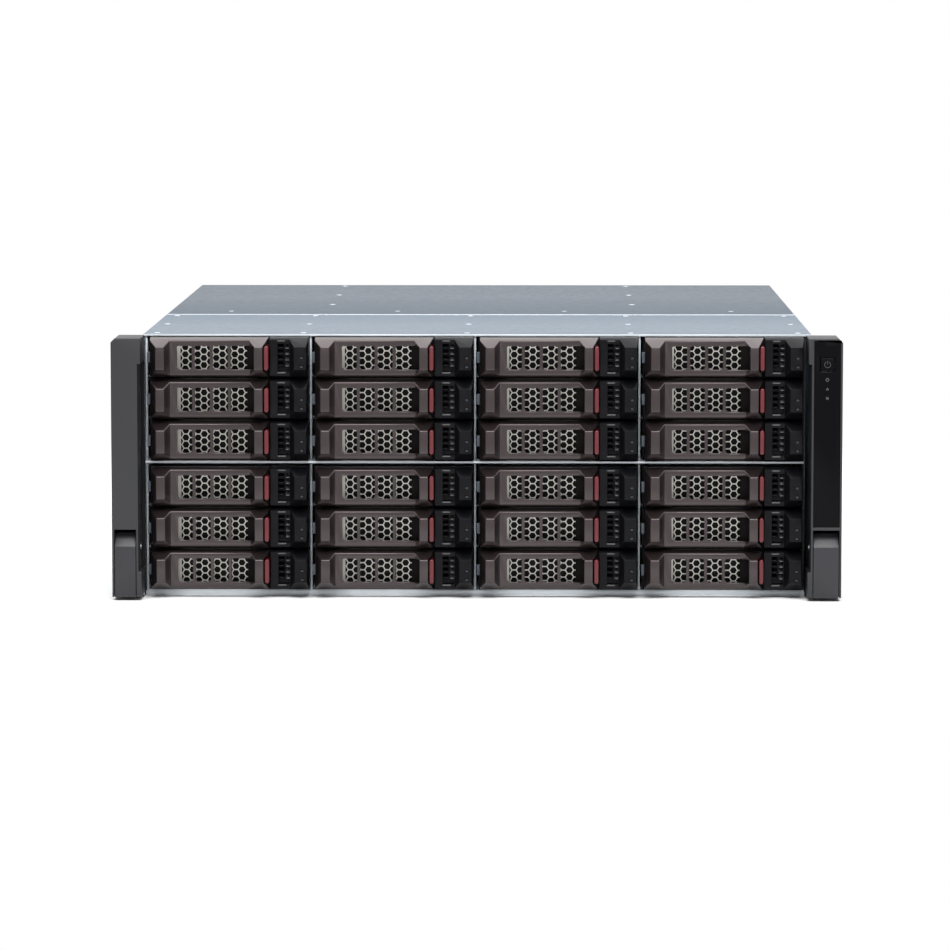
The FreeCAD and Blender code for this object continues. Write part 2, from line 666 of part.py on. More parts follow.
def chassis_tray():
    """The chassis and its rack flanges as one piece of folded steel."""
    gauge = D["SheetGauge"]
    shell = prism("tray_section", "XZ", [
        (-HALF_WIDTH, 0), (HALF_WIDTH, 0), (HALF_WIDTH, COVER_BOTTOM), (HALF_WIDTH - gauge, COVER_BOTTOM),
        (HALF_WIDTH - gauge, D["FloorGauge"]), (-HALF_WIDTH + gauge, D["FloorGauge"]),
        (-HALF_WIDTH + gauge, COVER_BOTTOM), (-HALF_WIDTH, COVER_BOTTOM)], FRONT, REAR)
    lip = box("front_hem", (HEM_LEFT, FRONT - gauge, 0), (HEM_RIGHT, FRONT, D["LipHeight"]))
    wall = box("rear_wall", (-HALF_WIDTH + gauge, REAR - gauge, D["FloorGauge"]),
               (HALF_WIDTH - gauge, REAR, COVER_BOTTOM))
    openings = []
    for name, left, upper in MODULE_BAYS:
        x, z = bay_corners(left, upper)
        openings.append(box("opening_" + name, (x[0], REAR - gauge * 2, z[0]), (x[1], REAR + gauge, z[1])))
    flanges = []
    for side, name in ((-1, "left"), (1, "right")):
        low, high = (-EAR_OUTER, -HALF_WIDTH) if side < 0 else (HALF_WIDTH, EAR_OUTER)
        flange = box(name + "_flange", (low, FRONT, D["EarBottom"]),
                     (high, FRONT + D["FlangeGauge"], EAR_TOP))
        x = D["RackSpacing"] / 2 * side
        heights = (D["RackHoleHeight"], D["RackHoleHeight"] + D["RackRise"])
        holes = [cylinder(f"{name}_rack_hole_{i}", "Y", (x, FRONT - gauge, z),
                          D["RackHoleRadius"], D["FlangeGauge"] + gauge * 2) for i, z in enumerate(heights)]
        flanges.append(cut(name + "_rack_flange", flange, holes))
    rear = cut("rear_wall_open", wall, openings)
    node("chassis_tray", [fuse("tray", [shell, lip, rear] + flanges)])


def top_covers():
    """The front cover over the cage with its hem, and the rear cover."""
    seam = FRONT + D["FrontCoverLength"]
    low = COVER_BOTTOM
    sheet = box("front_cover_sheet", (-HALF_WIDTH, FRONT, low), (HALF_WIDTH, seam, HEIGHT))
    hem = box("front_cover_hem", (HEM_LEFT, FRONT - D["CoverGauge"], HEIGHT - D["CoverLip"]),
              (HEM_RIGHT, FRONT, HEIGHT))
    node("top_cover_front", [fuse("front_cover", [sheet, hem])])
    rear = box("rear_cover", (-HALF_WIDTH, seam, low), (HALF_WIDTH, REAR, HEIGHT))
    node("top_cover_rear", [rear])


def backplane():
    """The board behind the cage with a connector for each drive."""
    front = FRONT + D["RailLength"] + D["BackplaneSpace"]
    board = box("board", (wall_x(0), front, D["FloorGauge"]),
                (wall_x(COLUMNS), front + D["BackplaneGauge"], COVER_BOTTOM))
    pieces = [board]
    start = FRONT + D["DriveSetback"] + D["DriveLength"] + D["ConnectorSpace"]
    for row in range(1, ROWS + 1):
        for column in range(1, COLUMNS + 1):
            x = column_x(column) + TRAY_MIDDLE
            z = row_z(row)
            half = D["ConnectorHeight"] / 2
            pieces.append(box(f"connector_r{row}c{column}", (x - D["ConnectorWidth"] / 2, start, z - half),
                              (x + D["ConnectorWidth"] / 2, front, z + half)))
    node("backplane", pieces)


def fan_wall():
    """Three fans in a row between the cage and the rear modules."""
    start = FRONT + D["FanSetback"]
    end = start + D["FanDepth"]
    low = D["FloorGauge"]
    half = D["FanSize"] / 2
    arm = D["FanArm"]
    pieces = []
    for i in (-1, 0, 1):
        name = f"fan_{i + 2}"
        x = D["FanPitch"] * i
        middle = (x, low + half)
        frame = box(name + "_frame", (x - half, start, low), (x + half, end, low + D["FanSize"]))
        bore = prism(name + "_bore", "XZ", flat_sided(middle, D["FanBore"]), start - arm, end + arm)
        hub = prism(name + "_hub", "XZ", flat_sided(middle, D["FanHub"]), start, end)
        strut = box(name + "_strut", (x - half + arm / 2, end - arm, low + half - arm / 2),
                    (x + half - arm / 2, end, low + half + arm / 2))
        pieces.append(fuse(name, [cut(name + "_ring", frame, [bore]), hub, strut]))
    node("fan_wall", pieces)


def module_handle(name, low, high, z):
    """A module's pull handle between two x, a flat U with room for the fingers."""
    bar = D["HandleBar"]
    out = REAR + D["HandleReach"]
    foot = z - D["HandleWidth"] / 2
    return prism(name, "XY", [
        (low, REAR), (low + bar, REAR), (low + bar, out - bar), (high - bar, out - bar),
        (high - bar, REAR), (high, REAR), (high, out), (low, out)], foot, foot + D["HandleWidth"])


def rear_modules():
    """Two power supplies below and two expander modules above, open at their inner ends."""
    gap = D["ModuleSpace"]
    wall = D["ModuleWall"]
    lap = gap + wall
    start = REAR - D["ModuleLength"]
    pieces = []
    for name, left, upper in MODULE_BAYS:
        x, z = bay_corners(left, upper)
        middle = (z[0] + z[1]) / 2
        housing = box("module_" + name, (x[0] + gap, start, z[0] + gap), (x[1] - gap, REAR, z[1] - gap))
        inside = box("inside_" + name, (x[0] + lap, start - wall, z[0] + lap),
                     (x[1] - lap, REAR - wall, z[1] - lap))
        wide, tall, count = D["InletWidth"], D["InletHeight"], 1
        if upper:
            wide, tall, count = D["PortWidth"], D["PortHeight"], PORTS
        sockets = []
        for i in range(count):
            low = x[0] + D["SocketInset"] + D["PortPitch"] * i
            sockets.append(box(f"socket_{name}_{i}", (low, REAR - wall * 2, middle - tall / 2),
                               (low + wide, REAR + wall, middle + tall / 2)))
        pieces.append(cut("shell_" + name, housing, [inside] + sockets))
        end = x[1] - D["HandleInset"]
        pieces.append(module_handle("handle_" + name, end - D["HandleLength"], end, middle))
    node("rear_modules", pieces)


# Rack ears: hollow covers in front of the rack flanges, each with a latch at
# its foot; the right one holds the control panel and the power button.


def ear_shell(side, name):
    """An ear's hollow shell with its latch opening, left -1 or right 1."""
    wide = HALF_WIDTH - (D["LeftEarOverlap"] if side < 0 else D["RightEarOverlap"])
    inner = wide + D["EarStep"]
    head = EAR_TOP - D["EarHead"]
    foot = D["EarBottom"] + D["EarHead"]
    chamfer = D["EarChamfer"]
    points = [(wide, D["EarBottom"]), (EAR_OUTER, D["EarBottom"]), (EAR_OUTER, EAR_TOP - chamfer),
              (EAR_OUTER - chamfer, EAR_TOP), (wide, EAR_TOP), (wide, head), (inner, head),
              (inner, foot), (wide, foot)]
    block = prism(name + "_block", "XZ", [(a * side, b) for a, b in points], EAR_FACE, FRONT)
    wall = D["EarWall"]
    low, high = (-EAR_OUTER + wall, -inner - wall) if side < 0 else (inner + wall, EAR_OUTER - wall)
    hollow = box(name + "_hollow", (low, EAR_FACE + wall, D["EarBottom"] + wall),
                 (high, FRONT + wall, EAR_TOP - wall - chamfer))
    latch_room = box(name + "_latch_room", (low, EAR_FACE - wall, D["EarBottom"] - wall),
                     (high, FRONT + wall, LATCH_HIGH))
    return block, [hollow, latch_room], (low, high)


def latch_axle_spot():
    """Reach plane and height of the latch axle."""
    return EAR_FACE + D["AxleInset"], D["EarBottom"] + D["AxleHeight"]


def ear_latch(label, low, high):
    """The flip latch: a bent cover with a slanted grip, on an axle at its foot."""
    wall = D["LatchWall"]
    foot = D["EarBottom"]
    top = LATCH_HIGH - D["LatchTop"]
    grip = top - D["LatchGrip"]
    back = EAR_FACE + D["LatchSetback"]
    axle_y, axle_z = latch_axle_spot()
    section = [(EAR_FACE, foot), (EAR_FACE, grip), (back, top), (back + wall, top),
               (back + wall, top - wall / 2), (EAR_FACE + wall, grip - wall / 2),
               (EAR_FACE + wall, axle_z + D["AxleHeight"]), (axle_y + wall, axle_z + D["AxleHeight"] / 2),
               (axle_y + wall, foot + wall / 2), (axle_y, foot)]
    gap = D["LatchSpace"]
    cover = prism(label + "_cover", "YZ", section, low + gap, high - gap)
    bearing = D["EarWall"] / 2
    axle = cylinder(label + "_axle", "X", (low - bearing, axle_y, axle_z),
                    D["AxleRadius"], high - low + bearing * 2)
    node(label, [fuse(label + "_piece", [cover, axle])])


def axle_bore(name, low, high):
    """The flat-sided bores of the latch axle in both sides of an ear."""
    room = flat_sided(latch_axle_spot(), D["AxleRadius"] + D["PinSpace"])
    depth = D["EarWall"] - D["AxleCap"]
    return prism(name + "_axle_bore", "YZ", room, low - depth, high + depth)


def ears():
    """Both ears, their latches, the gloss panel and the power button."""
    block, rooms, (low, high) = ear_shell(-1, "ear_left")
    node("ear_left", [cut("left_ear_shell", block, rooms + [axle_bore("left", low, high)])])
    ear_latch("ear_latch_left", low, high)
    block, rooms, (low, high) = ear_shell(1, "ear_right")
    wall = D["EarWall"]
    panel_low = LATCH_HIGH + D["CrossbarHeight"]
    panel_high = EAR_TOP - wall
    room = box("panel_room", (low, EAR_FACE - wall, panel_low), (high, EAR_FACE + wall * 2, panel_high))
    frame = cut("right_ear_shell", block, rooms + [room, axle_bore("right", low, high)])
    face = EAR_FACE + D["PanelSetback"]
    plate = box("panel_plate", (low, face, panel_low), (high, face + D["PanelGauge"], panel_high))
    x = (low + high) / 2
    z = D["PowerHeight"]
    half = D["PowerSize"] / 2
    hole = half + D["PowerSpace"]
    opening = box("power_opening", (x - hole, face - wall, z - hole),
                  (x + hole, face + D["PanelGauge"] + wall, z + hole))
    node("ear_right", [frame, cut("gloss_panel", plate, [opening])])
    ear_latch("ear_latch_right", low, high)
    node("power_button", [box("power_cap", (x - half, EAR_FACE + D["PanelSetback"] / 2, z - half),
                              (x + half, EAR_FACE + D["PowerLength"], z + half))])


def check_and_export():
    """Checks every object, then writes each sub-part to a file of its own."""
    DOC.recompute()
    faults = [f"{thing.Label}: {thing.State}" for thing in DOC.Objects
              if "Invalid" in thing.State or "Error" in thing.State]
    for thing in NODES:
        shape = thing.Shape
        if shape.isNull() or not shape.isValid() or not shape.Solids:
            faults.append(f"{thing.Label}: no valid solid")
    if faults:
        raise RuntimeError("\n".join(faults))
    os.makedirs("parts", exist_ok=True)
    for thing in NODES:
        thing.Shape.exportStep(f"parts/{thing.Label}.step")


chassis_tray()
drive_cage()
top_covers()
backplane()
fan_wall()
rear_modules()
ears()
carriers()
check_and_export()
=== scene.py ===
import bmesh
import bpy
import math
from mathutils import Matrix, Vector


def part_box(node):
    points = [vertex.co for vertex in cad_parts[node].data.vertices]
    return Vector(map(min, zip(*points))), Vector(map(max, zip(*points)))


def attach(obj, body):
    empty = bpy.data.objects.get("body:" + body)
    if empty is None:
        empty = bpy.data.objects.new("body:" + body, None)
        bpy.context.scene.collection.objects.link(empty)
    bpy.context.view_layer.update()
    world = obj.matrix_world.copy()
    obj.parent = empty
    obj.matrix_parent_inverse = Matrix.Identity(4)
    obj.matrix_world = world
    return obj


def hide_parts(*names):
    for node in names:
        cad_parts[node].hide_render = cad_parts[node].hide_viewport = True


bl_info = {
    "name": "Disk Shelf Enclosure",
    "version": (1, 0, 0),
    "blender": (4, 5, 0),
    "location": "View3D > Sidebar > Disk Shelf",
    "description": "Builds the visible pieces of a four-unit rack disk shelf on its CAD frame",
    "category": "Object",
}

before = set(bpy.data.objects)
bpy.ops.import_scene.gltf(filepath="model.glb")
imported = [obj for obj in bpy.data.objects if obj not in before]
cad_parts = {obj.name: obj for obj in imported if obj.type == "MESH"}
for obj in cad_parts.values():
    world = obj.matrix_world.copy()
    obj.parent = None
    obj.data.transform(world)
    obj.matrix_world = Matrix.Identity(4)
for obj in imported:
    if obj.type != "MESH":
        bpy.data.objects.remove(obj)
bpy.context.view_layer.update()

# Local shapes are in millimetres: u to the right, v up, and -y out of the
# front. Everything else is in metres, in the frame's own axes.
MM = 0.001
ROWS = 6
COLUMNS = 4
BAYS = [(row, column) for row in range(1, ROWS + 1) for column in range(1, COLUMNS + 1)]
STATIC_BODY = "enclosure"


# Properties

class ShelfSizes(bpy.types.PropertyGroup):
    """Sizes of the visible detail, in millimetres."""

    edge: bpy.props.FloatProperty(name="Edge", description="Rounding of moulded edges", default=0.55)
    sheet_edge: bpy.props.FloatProperty(
        name="Sheet edge", description="Rounding of sheet edges", default=0.25)
    cell_pitch: bpy.props.FloatProperty(
        name="Cell pitch", description="Height from hexagon to hexagon in a carrier's screen", default=4.75)
    cell_wall: bpy.props.FloatProperty(
        name="Cell wall", description="Bar between two hexagons", default=0.68)
    grille_pitch: bpy.props.FloatProperty(
        name="Grille pitch", description="Height from hole to hole in the rear grilles", default=5.2)
    screw: bpy.props.FloatProperty(name="Screw", description="Radius of a cover screw's head", default=2.3)
    dimple: bpy.props.FloatProperty(name="Dimple", description="Radius of a spot weld's mark", default=1.9)
    floor: bpy.props.FloatProperty(
        name="Floor", description="Half the floor's width in metres", default=30.0)


class ShelfColours(bpy.types.PropertyGroup):
    """Base colours of the materials, linear."""

    zinc: bpy.props.FloatVectorProperty(
        name="Zinc", description="Galvanised sheet", subtype="COLOR", default=(0.153, 0.184, 0.221))
    cage: bpy.props.FloatVectorProperty(
        name="Cage", description="Drive cage", subtype="COLOR", default=(0.62, 0.68, 0.73))
    lever: bpy.props.FloatVectorProperty(
        name="Lever", description="Metallic paint of the levers", subtype="COLOR",
        default=(0.039, 0.0275, 0.0288))
    # Also painted shade: the sheet behind each screen and the chassis's right front edge get this black.
    black: bpy.props.FloatVectorProperty(
        name="Black", description="Carrier mouldings", subtype="COLOR", default=(0.0030, 0.0030, 0.0042))
    release: bpy.props.FloatVectorProperty(
        name="Release", description="Release buttons", subtype="COLOR", default=(0.092, 0.0030, 0.0075))
    screen: bpy.props.FloatVectorProperty(
        name="Screen", description="Hexagon screens", subtype="COLOR", default=(0.66, 0.64, 0.59))
    ear: bpy.props.FloatVectorProperty(
        name="Ear", description="Rack ears and latches", subtype="COLOR", default=(0.0130, 0.0130, 0.0158))
    gloss: bpy.props.FloatVectorProperty(
        name="Gloss", description="Control panel", subtype="COLOR", default=(0.0020, 0.0020, 0.0027))
    mark: bpy.props.FloatVectorProperty(
        name="Mark", description="Printed pictograms", subtype="COLOR", default=(0.09, 0.09, 0.096))
    drive: bpy.props.FloatVectorProperty(
        name="Drive", description="Drive housings", subtype="COLOR", default=(0.30, 0.31, 0.32))
    # The edge colour is also a painted highlight: the front faces of the covers and the chassis get it, far
    # lighter than the zinc. The weld marks, socket cages and inlet blades use it too.
    edge: bpy.props.FloatVectorProperty(
        name="Edge", description="Cut and folded edges of the sheet", subtype="COLOR",
        default=(0.74, 0.79, 0.83))
    board: bpy.props.FloatVectorProperty(
        name="Board", description="Circuit board", subtype="COLOR", default=(0.02, 0.10, 0.05))


# Materials

def shade(colour, factor):
    """A colour made darker or lighter."""
    return [part * factor for part in colour]


class Nodes:
    """Small helper that adds and links the nodes of one material."""

    def __init__(self, name):
        self.material = bpy.data.materials.new(name)
        self.material.use_nodes = True
        self.tree = self.material.node_tree
        self.shader = self.tree.nodes["Principled BSDF"]
        self.place = self.add("ShaderNodeTexCoord").outputs["Object"]

    def add(self, kind, **values):
        """A node with its plain sockets set by name."""
        node = self.tree.nodes.new(kind)
        for name, value in values.items():
            node.inputs[name.replace("_", " ")].default_value = value
        return node

    def link(self, source, target):
        """Joins two sockets."""
        self.tree.links.new(source, target)

    def noise(self, scale, detail=3.0, stretch=(1.0, 1.0, 1.0)):
        """Noise on object coordinates, stretched along an axis for brushed sheet."""
        mapping = self.add("ShaderNodeMapping", Scale=stretch)
        self.link(self.place, mapping.inputs["Vector"])
        node = self.add("ShaderNodeTexNoise", Scale=scale, Detail=detail, Roughness=0.55)
        self.link(mapping.outputs["Vector"], node.inputs["Vector"])
        return node.outputs["Fac"]

    def spangle(self, scale):
        """Zinc crystals: cells of slightly different brightness."""
        node = self.add("ShaderNodeTexVoronoi", Scale=scale)
        self.link(self.place, node.inputs["Vector"])
        grey = self.add("ShaderNodeRGBToBW")
        self.link(node.outputs["Color"], grey.inputs["Color"])
        return grey.outputs["Val"]

    def between(self, factor, low, high):
        """Maps a factor to a range."""
        node = self.add("ShaderNodeMapRange", To_Min=low, To_Max=high)
        self.link(factor, node.inputs["Value"])
        return node.outputs["Result"]

    def tint(self, factor, colour, low, high):
        """The colour made darker or lighter by a factor."""
        mix = self.add("ShaderNodeMix")
        mix.data_type = "RGBA"
        share, dark, light, result = mix.inputs[0], mix.inputs[6], mix.inputs[7], mix.outputs[2]
        dark.default_value = (*shade(colour, low), 1)
        light.default_value = (*[min(part, 1) for part in shade(colour, high)], 1)
        self.link(factor, share)
        self.link(result, self.shader.inputs["Base Color"])

    def bump(self, height, strength, distance):
        """Bump from a height."""
        node = self.add("ShaderNodeBump", Strength=strength, Distance=distance)
        self.link(height, node.inputs["Height"])
        self.link(node.outputs["Normal"], self.shader.inputs["Normal"])

    def done(self, metallic, rough, **more):
        """Sets what is left and returns the material."""
        self.shader.inputs["Metallic"].default_value = metallic
        if isinstance(rough, float):
            self.shader.inputs["Roughness"].default_value = rough
        else:
            self.link(rough, self.shader.inputs["Roughness"])
        for name, value in more.items():
            self.shader.inputs[name.replace("_", " ")].default_value = value
        return self.material


def sheet_metal(name, colour, metallic=0.03, crystals=260.0, depth=0.00001):
    """Galvanised sheet: zinc crystals, faint rolling lines and a soft sheen."""
    along_the_sheet = (0.05, 1.0, 1.0)
    n = Nodes(name)
    cells = n.spangle(crystals)
    lines = n.noise(1400.0, 2.0, along_the_sheet)
    both = n.add("ShaderNodeMath")
    both.operation = "ADD"
    n.link(n.between(cells, 0.0, 0.5), both.inputs[0])
    n.link(n.between(lines, 0.0, 0.5), both.inputs[1])
    n.tint(both.outputs[0], colour, 0.955, 1.04)
    n.bump(lines, 0.08, depth)
    return n.done(metallic, n.between(cells, 0.36, 0.46), Specular_IOR_Level=0.05)


def moulding(name, colour, rough, grain=2600.0, depth=0.00004, swing=0.10, **more):
    """Moulded or painted plastic with a fine grain."""
    n = Nodes(name)
    fine = n.noise(grain, 2.0)
    broad = n.noise(60.0, 3.0)
    n.tint(broad, colour, 1.0 - swing, 1.0 + swing)
    n.bump(fine, 0.22, depth)
    return n.done(0.0, n.between(fine, rough - 0.07, rough + 0.07), **more)


def flake_paint(name, colour):
    """Satin metallic paint with fine flakes."""
    n = Nodes(name)
    flakes = n.noise(5200.0, 1.0)
    broad = n.noise(45.0, 2.0)
    mix = n.add("ShaderNodeMath")
    mix.operation = "ADD"
    n.link(n.between(flakes, 0.0, 0.7), mix.inputs[0])
    n.link(n.between(broad, 0.0, 0.3), mix.inputs[1])
    n.tint(mix.outputs[0], colour, 0.82, 1.18)
    n.bump(flakes, 0.10, 0.00002)
    return n.done(0.75, n.between(flakes, 0.25, 0.33), Coat_Weight=0.5, Coat_Roughness=0.12)


def seen_rays(tree):
    """1 for the rays that show the background: to the camera, in gloss and through glass."""
    path = tree.nodes.new("ShaderNodeLightPath")
    total = path.outputs["Is Camera Ray"]
    for ray in ("Is Glossy Ray", "Is Transmission Ray"):
        node = tree.nodes.new("ShaderNodeMath")
        node.operation = "MAXIMUM"
        tree.links.new(total, node.inputs[0])
        tree.links.new(path.outputs[ray], node.inputs[1])
        total = node.outputs[0]
    return total


def plain_floor(name):
    """Matt pale ground that fades into the white background away from the shelf."""
    n = Nodes(name)
    n.tint(n.noise(3.0, 2.0), (0.94, 0.94, 0.94), 0.995, 1.005)
    n.done(0.0, 0.9, Specular_IOR_Level=0.1)
    distance = n.add("ShaderNodeVectorMath")
    distance.operation = "LENGTH"
    n.link(n.place, distance.inputs[0])
    far = n.add("ShaderNodeMapRange", From_Min=0.45, From_Max=0.95)
    far.interpolation_type = "SMOOTHSTEP"
    n.link(distance.outputs["Value"], far.inputs["Value"])
    share = n.add("ShaderNodeMath")
    share.operation = "MULTIPLY"
    n.link(far.outputs["Result"], share.inputs[0])
    n.link(seen_rays(n.tree), share.inputs[1])
    white = n.add("ShaderNodeEmission", Color=(1, 1, 1, 1), Strength=1.0)
    mix = n.add("ShaderNodeMixShader")
    n.link(share.outputs[0], mix.inputs[0])
    n.link(n.shader.outputs[0], mix.inputs[1])
    n.link(white.outputs[0], mix.inputs[2])
    n.link(mix.outputs[0], n.tree.nodes["Material Output"].inputs["Surface"])
    return n.material


def make_materials(colours):
    """Every material of the shelf by a short name."""
    zinc, edge, ear = colours.zinc, colours.edge, colours.ear
    return {
        "zinc": sheet_metal("galvanised_sheet", zinc),
        # The lip material is a light, matt copy of the sheet edge colour: painted highlight on the cage's
        # front faces and on the hems.
        "lip": sheet_metal("lip_painted_highlight", shade(edge, 0.95), 0.0, crystals=300.0, depth=0.000001),
        # A darker copy of the zinc: painted shade on the rear cover, and the grey of the lever hooks.
        "dark_zinc_and_shade": sheet_metal("galvanised_sheet_dark_and_shade", shade(zinc, 0.63)),
        # The sheet edge material, much lighter than the zinc, is a painted highlight on the front faces of
        # covers and chassis.
        "edge": sheet_metal("sheet_edge", edge, 0.3, crystals=500.0, depth=0.000001),
        "cage": sheet_metal("cage_sheet", colours.cage, 0.45, crystals=140.0),
        "module": sheet_metal("module_sheet", zinc, 0.5, crystals=120.0),
        "lever": flake_paint("lever_paint", colours.lever),
        "black": moulding("carrier_moulding", colours.black, 0.34, Specular_IOR_Level=0.13),
        "release": moulding("release_moulding", colours.release, 0.34, grain=2000.0, Coat_Weight=0.1),
        # The finger floor is the lever paint made four times darker: painted shade in the finger opening.
        "finger": moulding("shaded_finger_floor", shade(colours.lever, 0.25), 0.6, Specular_IOR_Level=0.1),
        "screen": sheet_metal("screen_sheet", colours.screen, 0.5, crystals=400.0),
        "ear": moulding("ear_moulding", ear, 0.46, grain=2400.0, depth=0.00006, swing=0.05),
        "latch": moulding("latch_moulding", shade(ear, 1.6), 0.40, grain=2400.0, depth=0.00005,
                          swing=0.05, Specular_IOR_Level=0.4),
        "gloss": moulding("gloss_panel", colours.gloss, 0.14, grain=300.0, depth=0.000005,
                          Specular_IOR_Level=0.07),
        "mark": moulding("pictogram_print", colours.mark, 0.5),
        "faint_mark": moulding("button_print", shade(colours.mark, 0.30), 0.5),
        "lens": moulding("indicator_lens", (0.008, 0.010, 0.016), 0.22, grain=1500.0),
        # A lighter grey moulding: the colour of the ear clips and vent tabs, and painted glints on the right
        # louvres.
        "tab": moulding("latch_grey_and_glint", (0.07, 0.07, 0.075), 0.26),
        "drive": sheet_metal("drive_cover", colours.drive, 0.7, crystals=120.0),
        # Near black: the own colour of the fan wall and the spindle hubs, and painted shade on the drive
        # bodies behind the screens and on the cage's ledges and rim.
        "near_black_and_shade": moulding("near_black_and_painted_shade", (0.012, 0.012, 0.014), 0.55),
        "board": moulding("circuit_board", colours.board, 0.35, grain=700.0),
        "screw": sheet_metal("screw_steel", (0.55, 0.57, 0.60), 0.8, crystals=700.0),
        # Near black behind the rear grilles: painted shade of the modules' inside.
        "hole": moulding("painted_shade_recess", (0.01, 0.01, 0.01), 0.7),
        "tile": moulding("connector_moulding", (0.02, 0.02, 0.022), 0.5),
    }


MATERIALS = {}


# Mesh tools

SMOOTH_BELOW = 35


def closed(name, shape):
    """A mesh object from a bmesh, with its doubles merged and normals outward."""
    bmesh.ops.remove_doubles(shape, verts=shape.verts, dist=1e-7)
    bmesh.ops.recalc_face_normals(shape, faces=shape.faces)
    mesh = bpy.data.meshes.new(name)
    shape.to_mesh(mesh)
    shape.free()
    thing = bpy.data.objects.new(name, mesh)
    bpy.context.scene.collection.objects.link(thing)
    return thing


def extruded(name, outline, axis, low, high):
    """An outline swept along u, y or v ("x", "y", "z"), in millimetres."""
    order = {"x": (1, 2, 0), "y": (0, 2, 1), "z": (0, 1, 2)}[axis]
    shape = bmesh.new()
    rings = []
    for depth in (low, high):
        ring = []
        for a, b in outline:
            spot = [0.0, 0.0, 0.0]
            for place, value in zip(order, (a, b, depth)):
                spot[place] = value * MM
            ring.append(shape.verts.new(spot))
        rings.append(ring)
    count = len(outline)
    shape.faces.new(rings[0])
    shape.faces.new(rings[1][::-1])
    for i in range(count):
        j = (i + 1) % count
        shape.faces.new((rings[0][i], rings[0][j], rings[1][j], rings[1][i]))
    return closed(name, shape)


def slab(name, low, high):
    """A block between two corners, in millimetres; always cut, joined or rounded afterwards."""
    (a, b, c), (d, e, f) = low, high
    return extruded(name, [(a, b), (d, b), (d, e), (a, e)], "z", c, f)


def disc(name, middle, radius, axis, low, high, sides=24, turn=0.0):
    """A round prism, or one with few sides, turned by some degrees."""
    turns = [2 * math.pi * i / sides + math.radians(turn) for i in range(sides)]
    ring = [(middle[0] + radius * math.cos(t), middle[1] + radius * math.sin(t)) for t in turns]
    return extruded(name, ring, axis, low, high)


def stadium(low, high, radius, steps=6):
    """A rectangle with rounded corners, as an outline."""
    corners = [(high[0] - radius, high[1] - radius, 0), (low[0] + radius, high[1] - radius, 1),
               (low[0] + radius, low[1] + radius, 2), (high[0] - radius, low[1] + radius, 3)]
    points = []
    for x, y, quarter in corners:
        for i in range(steps + 1):
            turn = (quarter + i / steps) * math.pi / 2
            points.append((x + radius * math.cos(turn), y + radius * math.sin(turn)))
    return points


def settle(thing):
    """Turns an object's modifiers into its mesh."""
    depsgraph = bpy.context.evaluated_depsgraph_get()
    mesh = bpy.data.meshes.new_from_object(thing.evaluated_get(depsgraph))
    thing.modifiers.clear()
    old = thing.data
    thing.data = mesh
    bpy.data.meshes.remove(old)
    return thing


def drop(thing):
    """Deletes a helper object."""
    mesh = thing.data
    bpy.data.objects.remove(thing)
    bpy.data.meshes.remove(mesh)


def carve(base, operation, *tools):
    """Boolean operations, one tool after another."""
    for tool in tools:
        step = base.modifiers.new(operation.lower(), "BOOLEAN")
        step.operation = operation
        step.solver = "EXACT"
        step.object = tool
        settle(base)
        drop(tool)
    return base


def join(name, things):
    """Several objects as one mesh that keeps each one's materials."""
    shape = bmesh.new()
    materials = []
    for thing in things:
        start = len(shape.faces)
        shape.from_mesh(thing.data)
        shape.faces.ensure_lookup_table()
        slots = [materials.index(m) if m in materials else None for m in thing.data.materials]
        for i, material in enumerate(thing.data.materials):
            if slots[i] is None:
                materials.append(material)
                slots[i] = len(materials) - 1
        for face in shape.faces[start:]:
            face.material_index = slots[face.material_index] if slots else 0
        drop(thing)
    mesh = bpy.data.meshes.new(name)
    shape.to_mesh(mesh)
    shape.free()
    for material in materials:
        mesh.materials.append(material)
    thing = bpy.data.objects.new(name, mesh)
    bpy.context.scene.collection.objects.link(thing)
    return thing


def paint(thing, key):
    """Gives a mesh one material."""
    thing.data.materials.clear()
    thing.data.materials.append(MATERIALS[key])
    for face in thing.data.polygons:
        face.material_index = 0
    return thing


def smooth(thing, angle=30):
    """Smooth shading between faces that meet at less than an angle."""
    thing.data.shade_smooth()
    thing.data.set_sharp_from_angle(angle=math.radians(angle))
    return thing


def paint_where(thing, key, test):
    """Gives the faces that pass a test of centre and normal another material."""
    thing.data.materials.append(MATERIALS[key])
    last = len(thing.data.materials) - 1
    for face in thing.data.polygons:
        if test(face.center, face.normal):
            face.material_index = last
    return thing


def faces_front(centre, normal):
    """Whether a face looks out of the front."""
    return normal.y < -0.8


def finish_cad(node, key):
    """Gives a CAD node one material and leaves its mesh alone."""
    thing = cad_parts[node]
    thing.data.materials.clear()
    thing.data.materials.append(MATERIALS[key])


def rounded(thing, width, segments=2, angle=28):
    """Rounds every edge sharper than an angle, width in millimetres."""
    step = thing.modifiers.new("rounding", "BEVEL")
    step.width = width * MM
    step.segments = segments
    step.limit_method = "ANGLE"
    step.angle_limit = math.radians(angle)
    return smooth(settle(thing), SMOOTH_BELOW)


def rounded_front(thing, width):
    """Rounds the outer edges of the faces that look to the front, and leaves the inside as it is."""
    too_flat, facing_front = math.radians(20), -0.2
    shape = bmesh.new()
    shape.from_mesh(thing.data)
    weight = shape.edges.layers.float.new("bevel_weight_edge")
    for edge in shape.edges:
        if len(edge.link_faces) != 2 or edge.calc_face_angle_signed(0) < too_flat:
            continue
        if min(face.normal.y for face in edge.link_faces) < facing_front:
            edge[weight] = 1.0
    shape.to_mesh(thing.data)
    shape.free()
    step = thing.modifiers.new("rounding", "BEVEL")
    step.width = width * MM
    step.segments = 3
    step.limit_method = "WEIGHT"
    step.use_clamp_overlap = False
    return smooth(settle(thing), SMOOTH_BELOW)


